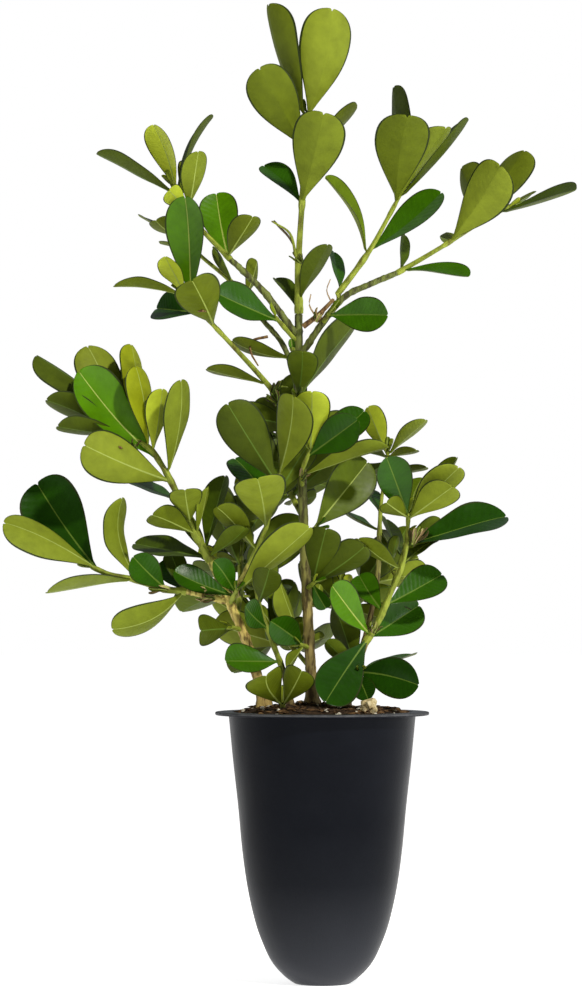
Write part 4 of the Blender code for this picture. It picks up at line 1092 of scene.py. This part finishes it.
def bark_material(name, painted_light):
    """Tan and fissured at the foot, turning olive green up the stem, with brown streaks, scaled by painted
    light and shade.
    """
    tree, shader = start_material(name)
    along = ramp(tree, share_along(tree, "Object", "Z", *BARK_SPAN),
                 [(place, tone(colour, painted_light)) for place, colour in BARK_STOPS])
    streaks = noise_at(tree, 900, 5, (1, 1, 0.16))
    fill(tree, shader, {
        "Base Color": blended(tree, "MULTIPLY", STREAK_STRENGTH, along, ramp(tree, streaks, STREAK_STOPS)),
        "Roughness": spread(tree, streaks, 0.85, 0.6),
        "Normal": bumped(tree, streaks, BARK_GRAIN),
    })


def pot_material():
    """Black moulded plastic with a satin bloom, faint flow marks, and a painted reflection of the floor that
    greys it towards the foot.
    """
    tree, shader = start_material("pot_plastic")
    floor_reflection = ramp(tree, share_along(tree, "Object", "Z", 0.0, POT_HEIGHT * MM), POT_FLOOR_REFLECTION)
    grain = bumped(tree, noise_at(tree, 2600, 2), POT_GRAIN)
    fill(tree, shader, {
        "Base Color": blended(tree, "ADD", 1.0, ramp(tree, noise_at(tree, 45, 4), POT_BLOOM), floor_reflection),
        "Roughness": spread(tree, noise_at(tree, 120, 5, (1, 1, 0.3)), 0.30, 0.40),
        "Specular IOR Level": POT_SPECULAR,
        "Normal": bumped(tree, noise_at(tree, 90, 2, (1, 1, 0.5)), POT_WAVES, 0.5, grain),
    })


def make_materials():
    for tint, (upper, under) in TINTS.items():
        leaf_material(f"upper_{tint}", upper, *(GLOSSY_SIDE if tint in GLOSSY_TINTS else MATT_SIDE))
        leaf_material(f"under_{tint}", under, *UNDER_SIDE)
    for name, colour in RIB_COLOURS.items():
        plain_material(name, [tone(colour, 0.85), colour], 400, (0.45, 0.6), 0.00004)
    for name, look in PLAIN_LOOKS.items():
        plain_material(name, *look)
    for name, painted_light in BARK_PAINTED_LIGHT.items():
        bark_material(name, painted_light)
    pot_material()


# ---- Stems and boughs ----


def bark_relief(spot, gone):
    """Height of the bark: fissures that run along the limb, knobbly patches and rings of old leaf scars."""
    along = noise.noise(Vector((spot.x * 1.6, spot.y * 1.6, spot.z * 0.28)))
    knob = noise.noise(spot * 0.9 + Vector((7, 3, 1)))
    ring = math.exp(-((gone % RING_SPACING - RING_SPACING / 2) / RING_WIDTH) ** 2)
    fine = noise.noise(spot * 4.5)
    return (FISSURE_DEPTH * along + KNOB_HEIGHT * knob + RING_HEIGHT * ring * (0.7 + 0.5 * along)
            + FINE_HEIGHT * fine)


def make_limb(name, limbs):
    """A stem or bough with its taper, root flare and bark, grown out of what carries it."""
    carrier, share, _, thick, thin = LIMBS[name]
    path = smooth_path(limbs[name][0], BARK_STEP)
    total = path_length(path)
    whole = rooted_in(limbs.get(carrier, carrier), share, path)
    before = (whole[1] - whole[0]).length if len(whole) > len(path) else 0
    size = min(1.0, thin)

    def radius_at(gone, _):
        along = max(0.0, gone - before)
        flare = 1 + (ROOT_FLARE.get(name, 1) - 1) * (1 - min(1, along / FLARE_HEIGHT)) ** 2
        return flare * (thick + (thin - thick) * along / total)

    build = Build(f"{name}_bark")
    # The left limbs take a lighter copy of the bark, painted light; the others a darker copy, painted shade.
    look = "pale_bark" if name in PAINTED_LIT_LIMBS else "bark"
    add_tube(build, whole, radius_at, BARK_SIDES, look, lambda spot, gone: size * bark_relief(spot, gone))
    build.finish("bark", [name])


# ---- Foliage ----


def twig_radius(radii, total, nodes):
    """Radius along a twig: tapered, a little four-sided, swollen where leaves sit."""
    def radius_at(gone, angle):
        taper = radii[0] + (radii[1] - radii[0]) * min(1, gone / total)
        swell = sum(math.exp(-((gone - node) / NODE_LENGTH) ** 2) for node in nodes)
        return taper * (1 + TWIG_SQUARE * math.cos(4 * angle)) * (1 + NODE_SWELL * min(1, swell))
    return radius_at


def nearest_along(path, spot):
    """Distance along a path to its point nearest a spot."""
    away = [(point - spot).length for point in path]
    return path_length(path[:away.index(min(away)) + 1])


def add_bud(build, spot, direction, size, rng):
    """A pair of small folded leaves round a growing tip."""
    turn = rng.uniform(0, math.pi)
    level = direction.orthogonal().normalized()
    for half in (0, math.pi):
        out = Matrix.Rotation(turn + half, 3, direction) @ level
        along = (direction + out * BUD_LEAN).normalized()
        normal = (direction - along * direction.dot(along)).normalized()
        leaf = Leaf(spot - direction * 0.2, along, normal, size * rng.uniform(0.85, 1.15), *BUD_FOLD)
        add_leaf(build, leaf, rng.choice(BUD_TINTS), rng, Form(width=0.8), SCALE_ROWS, FINE_COLUMNS)


def add_scales(build, spot, aim, reach, count, letters, rng):
    """A ruff of small dry scales round a joint, pointing along the twig and leaning out."""
    aim = aim.normalized()
    level = aim.orthogonal().normalized()
    for index in range(count):
        out = Matrix.Rotation(math.tau * (index + rng.uniform(-0.3, 0.3)) / count, 3, aim) @ level
        along = (aim + out * SCALE_SPREAD * rng.uniform(0.4, 1.3)).normalized()
        normal = (out - along * out.dot(along)).normalized()
        root = spot + out * 0.5 - aim * rng.uniform(0, 0.35) * reach
        leaf = Leaf(root, along, normal, reach * rng.uniform(0.6, 1.1), rng.uniform(0.2, 0.8),
                    rng.uniform(-0.12, 0.06))
        form = Form(width=SCALE_WIDTH * rng.uniform(0.7, 1.4), curl=rng.uniform(-0.25, 0.15))
        tint = TINT_LETTERS[letters[index % len(letters)]]
        add_leaf(build, leaf, tint, rng, form, SCALE_ROWS, FINE_COLUMNS)


def add_spots(build, name, leaves, rng):
    """Small brown blemishes laid on the side of a leaf that the front sees."""
    for mass, row, share, aside, size in LEAF_SPOTS:
        found = [leaf for index, leaf in leaves if mass == name and index == row]
        for base, along, normal, length, cup, bow in found:
            half = float(leaf_half_widths([share], length)[0])
            lift = length * bow * 4 * share * (1 - share) + half * cup * abs(aside) ** CUP_CURVE
            toward = normal if normal.y < 0 else -normal
            spot = (base + along * length * share + along.cross(normal) * half * aside + normal * lift
                    + toward * SPOT_LIFT)
            add_lump(build, spot, size, "twig_brown", rng, 0.5, 1.3)


def fine_shoots(tubes, rng):
    """Finer twigs that fork off a mass's stem and side twigs, away from the front: (path, leaves) each."""
    for path, _ in tubes:
        count = max(1, round(path_length(path) / FINE_SPACING))
        for index in range(count):
            spot, axis = place_on(path, (index + rng.uniform(0.35, 0.9)) / count)
            bearing = math.radians(rng.uniform(-FINE_BEARING, FINE_BEARING))
            away = Vector((math.sin(bearing), math.cos(bearing), rng.uniform(0.0, 0.5)))
            along = (away + axis * 0.5).normalized()
            reach = rng.uniform(*FINE_LENGTH)
            twig = smooth_path([spot, spot + along * reach * 0.5, spot + (along + axis * 0.15) * reach])
            bearing = rng.uniform(0, 90)
            yield twig, list(paired_leaves(twig, FINE_RADIUS, FINE_PAIRS, *FINE_LEAF, bearing, rng,
                                           FINE_LOWEST_PAIR, FINE_SPREAD))


def grow_fine(name, tubes, space, rng):
    """The finer twigs and leaves of a mass that stay in its solid's reach and cross nothing."""
    low, high = (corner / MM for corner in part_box(name))

    def inside(leaf):
        return all(low[axis] <= point[axis] <= high[axis] for point in blade(leaf)[0] for axis in range(3))

    kept = []
    for twig, leaves in fine_shoots(tubes, rng):
        if space.twig_fits(name, twig, FINE_RADIUS, SELF_CLEARANCE):
            found = [leaf for leaf in leaves if inside(leaf) and space.take_leaf(name, leaf, SELF_CLEARANCE)]
            if found:
                kept.append((twig, found))
    return kept


def add_twigs(build, name, tubes, bases, limbs):
    """A mass's stem, drawn back into its carrier, and its twigs, each swollen where a leaf sits."""
    for index, (path, radii) in enumerate(tubes):
        fine = smooth_path(path, TWIG_STEP)
        nodes = [nearest_along(fine, base) for base in bases
                 if min((point - base).length for point in fine) < 2 * radii[0]]
        carrier, share = MASSES[name][:2]
        whole = fine if index else rooted_in(limbs.get(carrier, carrier), share, fine)
        add_tube(build, whole, twig_radius(radii, path_length(fine), nodes), TWIG_SIDES, "twig_green")


def make_mass(name, tubes, leaves, limbs, space):
    """The leaves and the twigs of one mass, in place of its solid."""
    rng, details = random.Random(f"{RULE_SEED} {name} looks"), random.Random(f"{name} details")
    foliage, wood = Build(f"{name}_leaves"), Build(f"{name}_twigs")
    bases = []
    for row, leaf in leaves:
        letter = rng.choice(GROWN_TINTS) if row is None else SET_MASSES[name][6][row]
        form = LEAF_FORMS.get(name, {}).get(row, Form())._replace(plain_rib=name in PLAIN_RIB_MASSES)
        add_leaf(foliage, leaf, TINT_LETTERS[letter], random.Random(f"{name} {len(bases)} form"), form)
        bases.append(leaf.base)
    for twig, small in grow_fine(name, tubes[1:] if name in SET_MASSES else tubes, space, rng):
        tubes.append((twig, FINE_RADIUS))
        for leaf in small:
            tint = TINT_LETTERS[rng.choice(FINE_TINTS)]
            add_leaf(foliage, leaf, tint, rng, rows=FINE_ROWS, columns=FINE_COLUMNS)
            bases.append(leaf.base)
    for spot, aim, reach, count, letters in SCALES.get(name, ()):
        add_scales(foliage, Vector(spot), Vector(aim), reach, count, letters, details)
    for index, (path, _) in enumerate(tubes):
        add_bud(foliage, path[-1], (path[-1] - path[-2]).normalized(), TWIG_BUD if index else STEM_BUD, rng)
    add_spots(wood, name, leaves, details)
    for points, radii, look in SNAGS.get(name, ()):
        snag = smooth_path(points, TWIG_STEP)
        add_tube(wood, snag, twig_radius(radii, path_length(snag), []), TWIG_SIDES, look)
    add_twigs(wood, name, tubes, bases, limbs)
    foliage.finish("foliage", [name])
    wood.finish("foliage", [name])


# ---- Pot and potting mix ----


def rounded_wall(apart):
    """(radius, height) points down the pot's outside, on a smooth curve."""
    fine = smooth_path([(radius, 0, height) for radius, height in [*POT_OUTLINE, *POT_FOOT]], apart)
    return [(point.x, point.z) for point in fine]


def pot_look(radius, height):
    """The lip's top and edge are grey, a painted highlight; the rest is black."""
    highlighted = radius > NECK + HIGHLIGHT_INSET and height > LIP_UNDERSIDE + LIP_ROUND
    return "pot_rim_painted_highlight" if highlighted else "pot_plastic"


def make_pot():
    """The pot's shell: floor, inside wall, flat lip with a rounded edge, outside wall and foot, and holes."""
    turns = [(math.sin(turn), math.cos(turn)) for turn in np.linspace(0, math.pi / 2, LIP_POINTS)]
    lip = [(LIP_RADIUS - LIP_ROUND * (1 - sine), POT_HEIGHT - LIP_ROUND * (1 - cosine))
           for sine, cosine in turns]
    lip += [(LIP_RADIUS - LIP_ROUND * (1 - cosine), LIP_UNDERSIDE + LIP_ROUND * (1 - sine))
            for sine, cosine in turns]
    outside = [(radius, height) for radius, height in rounded_wall(POT_STEP) if height < LIP_UNDERSIDE - 0.4]
    inside = [(max(0.5, radius - WALL), height) for radius, height in reversed(outside) if height > FLOOR + 1]
    mouth = NECK - WALL
    profile = [(POT_FOOT[-2][0], FLOOR), *inside, (mouth - 0.1, POT_HEIGHT - 0.5), (mouth + 0.2, POT_HEIGHT),
               *lip, (NECK + 0.5, LIP_UNDERSIDE), (NECK - 0.1, LIP_UNDERSIDE - 0.3), *outside]
    points = [(x, y, height) for radius, height in profile for x, y in circle(POT_SIDES, radius)]
    faces = capped_faces(len(profile), POT_SIDES)
    looks = [pot_look(*spot) for spot in profile[:-1] for _ in range(POT_SIDES)]
    build = Build("pot_shell")
    build.add([*points, (0, 0, FLOOR), (0, 0, 0)], faces, looks + ["pot_plastic"] * 2 * POT_SIDES)
    drill(build.finish("pot_plastic", ["pot"], 40))


def drill(pot):
    """Cuts the drain holes through the pot's floor."""
    holes = Build("drain_holes_cut")
    for x, y in circle(DRAIN_HOLES, DRAIN_RING, 0.5):
        add_tube(holes, [Vector((x, y, -FLOOR)), Vector((x, y, 2 * FLOOR))], lambda gone, angle: DRAIN_RADIUS,
                 DRAIN_SIDES, "pot_plastic")
    cutter = holes.finish("pot_plastic")
    cut = pot.modifiers.new("drain", "BOOLEAN")
    cut.object = cutter
    cut.operation = "DIFFERENCE"
    cut.solver = "EXACT"
    made = bpy.data.meshes.new_from_object(pot.evaluated_get(bpy.context.evaluated_depsgraph_get()))
    pot.modifiers.clear()
    pot.data = made
    bpy.data.objects.remove(cutter, do_unlink=True)


def mix_height(x, y):
    """Height of the potting mix at a place: level, crumbly, falling to the wall."""
    away = math.hypot(x, y)
    fall = SOIL_EDGE_DROP * max(0.0, (away - SOIL_LEVEL_RADIUS) / (MIX_RADIUS - SOIL_LEVEL_RADIUS))
    rough = noise.fractal(Vector((x * CRUMB_SCALE, y * CRUMB_SCALE, 3)), 1.0, 2.0, 4)
    apart = (x - MOUND_SPOT[0]) ** 2 + (y - MOUND_SPOT[1]) ** 2
    mound = MOUND_HEIGHT * math.exp(-apart / MOUND_RADIUS ** 2)
    return SOIL_TOP - fall + mound * (1 + 0.5 * rough) + MIX_ROUGHNESS * (rough - CRUMB_MIDDLE)


def add_lump(build, middle, size, look, rng, flat=1.0, stretch=1.0, rings=4, sides=7):
    """An irregular closed lump, such as a bark chip or a mineral grain."""
    turn = Matrix.Rotation(rng.uniform(0, math.tau), 3, "Z") @ Matrix.Rotation(rng.uniform(-0.5, 0.5), 3, "X")
    seed = Vector((rng.uniform(0, 99), rng.uniform(0, 99), 0))
    points = []
    for ring in range(1, rings):
        lean = math.pi * ring / rings
        for x, y in circle(sides, math.sin(lean)):
            out = Vector((x, y, -math.cos(lean)))
            swell = 1 + 0.5 * noise.noise(out * 1.7 + seed)
            points.append(middle + turn @ Vector((out.x * stretch, out.y, out.z * flat)) * size * swell)
    tip = turn @ Vector((0, 0, flat)) * size
    build.add([*points, middle - tip, middle + tip], capped_faces(rings - 1, sides), look)


def make_potting_mix():
    """The fill of the pot, with a crumbly top."""
    rings = [circle(MIX_SIDES, MIX_RADIUS * ring / MIX_RINGS) for ring in range(1, MIX_RINGS + 1)]
    points = [(x, y, mix_height(x, y)) for ring in rings for x, y in ring]
    wall = [(radius - WALL - SEAT_GAP, height) for radius, height in rounded_wall(MIX_STEP)
            if FLOOR + SEAT_GAP + 1 < height < SOIL_TOP - SOIL_EDGE_DROP - 0.8]
    points += [(x, y, height) for radius, height in wall for x, y in circle(MIX_SIDES, radius)]
    points += [(0, 0, mix_height(0, 0)), (0, 0, FLOOR + SEAT_GAP)]
    fill_faces = [face[::-1] for face in capped_faces(len(rings) + len(wall), MIX_SIDES)]
    build = Build("potting_mix_fill")
    build.add(points, fill_faces, "peat")
    build.finish("potting_mix", ["potting_mix"], 80)


def make_litter():
    """Bark chips, pale mineral grains and one tan pebble, strewn on the potting mix."""
    rng = random.Random(f"{RULE_SEED} mix")
    chips, grains = Build("bark_chips"), Build("mineral_grains")
    for index in range(MIX_CHIPS + MIX_GRAINS):
        away, angle = (MIX_RADIUS - 0.8) * math.sqrt(rng.random()), rng.uniform(0, math.tau)
        x, y = away * math.cos(angle), away * math.sin(angle)
        size = rng.uniform(*CHIP_SIZE)
        spot = Vector((x, y, mix_height(x, y) + 0.15 * size))
        if index < MIX_CHIPS:
            look = "bark_chip" if rng.random() < BARK_SHARE else "peat"
            add_lump(chips, spot, size, look, rng, 0.4, rng.uniform(*CHIP_STRETCH))
        else:
            add_lump(grains, spot, size * 0.8, "mineral_grain", rng, 0.8)
    add_lump(grains, PEBBLE_SPOT, PEBBLE_SIZE, "pebble", rng, 0.9, 1.0, 12, 18)
    chips.finish("potting_mix", (), 30)
    grains.finish("potting_mix", (), 30)


# ---- Stage ----


def make_floor():
    """A wide pale floor that glows a little, so that it is as white as the surround."""
    mesh = bpy.data.meshes.new("floor")
    size = FLOOR_SIZE * MM
    corners = [(-size, -size, 0), (size, -size, 0), (size, size, 0), (-size, size, 0)]
    mesh.from_pydata(corners, [], [(0, 1, 2, 3)])
    tree, shader = start_material("floor")
    fill(tree, shader, {
        "Base Color": (0.95, 0.95, 0.95, 1),
        "Roughness": 0.9,
        "Emission Color": (1, 1, 1, 1),
        "Emission Strength": FLOOR_GLOW,
    })
    mesh.materials.append(MATERIALS["floor"])
    floor = add_object("floor", mesh)


def make_surround():
    """White to the camera; its light is soft and stronger from behind, and gloss sees it dark in front."""
    world = bpy.data.worlds.new("surround")
    bpy.context.scene.world = world
    world.use_nodes = True
    tree = world.node_tree
    shown = tree.nodes["Background"]
    fill(tree, shown, {"Color": (1, 1, 1, 1)})

    def backdrop(stops, strength):
        colour = ramp(tree, share_along(tree, "Generated", "Y", -1.0, 1.0), stops)
        return new_node(tree, "ShaderNodeBackground", Color=colour, Strength=strength).outputs["Background"]

    def either(question, no, yes):
        made = new_node(tree, "ShaderNodeMixShader", Fac=rays.outputs[question])
        fill(tree, made, {1: no, 2: yes})
        return made.outputs["Shader"]

    rays = new_node(tree, "ShaderNodeLightPath")
    lit, sheen = backdrop(SURROUND_STOPS, SURROUND_LIGHT), backdrop(SHEEN_STOPS, SHEEN_LIGHT)
    seen = either("Is Camera Ray", either("Is Glossy Ray", lit, sheen), shown.outputs["Background"])
    fill(tree, tree.nodes["World Output"], {"Surface": seen})


def aim(obj, spot, target):
    obj.location = spot * MM
    obj.rotation_euler = (target - spot).to_track_quat("-Z", "Y").to_euler()


def make_lamps():
    """A warm key light, high in front on the right, and a wider, weaker one on the right side."""
    for name, (spot, size, power, colour) in LIGHTS.items():
        lamp = bpy.data.lights.new(name, "AREA")
        lamp.shape = "DISK"
        lamp.size = size * MM
        lamp.energy = power
        lamp.color = colour
        aim(add_object(name, lamp), Vector(spot), LIGHTS_AIM)


def make_camera():
    view = bpy.data.cameras.new("camera")
    view.lens = CAMERA_LENS
    view.sensor_width = 36
    camera = add_object("camera", view)
    aim(camera, CAMERA_SPOT, CAMERA_AIM)
    bpy.context.scene.camera = camera
    bpy.context.scene.view_settings.view_transform = "Standard"


def main():
    make_floor()
    make_surround()
    make_lamps()
    make_camera()
    make_materials()
    make_pot()
    make_potting_mix()
    make_litter()
    limbs, space = {}, Space()
    for name, (carrier, share, points, thick, thin) in LIMBS.items():
        path = rooted_path(limbs.get(carrier, carrier), share, points, thick)
        limbs[name] = (path, (thick, thin))
        space.add(name, tube_shape(*limbs[name]))
        make_limb(name, limbs)
    for name, (tubes, leaves) in grow_masses(limbs, space).items():
        make_mass(name, tubes, leaves, limbs, space)


main()
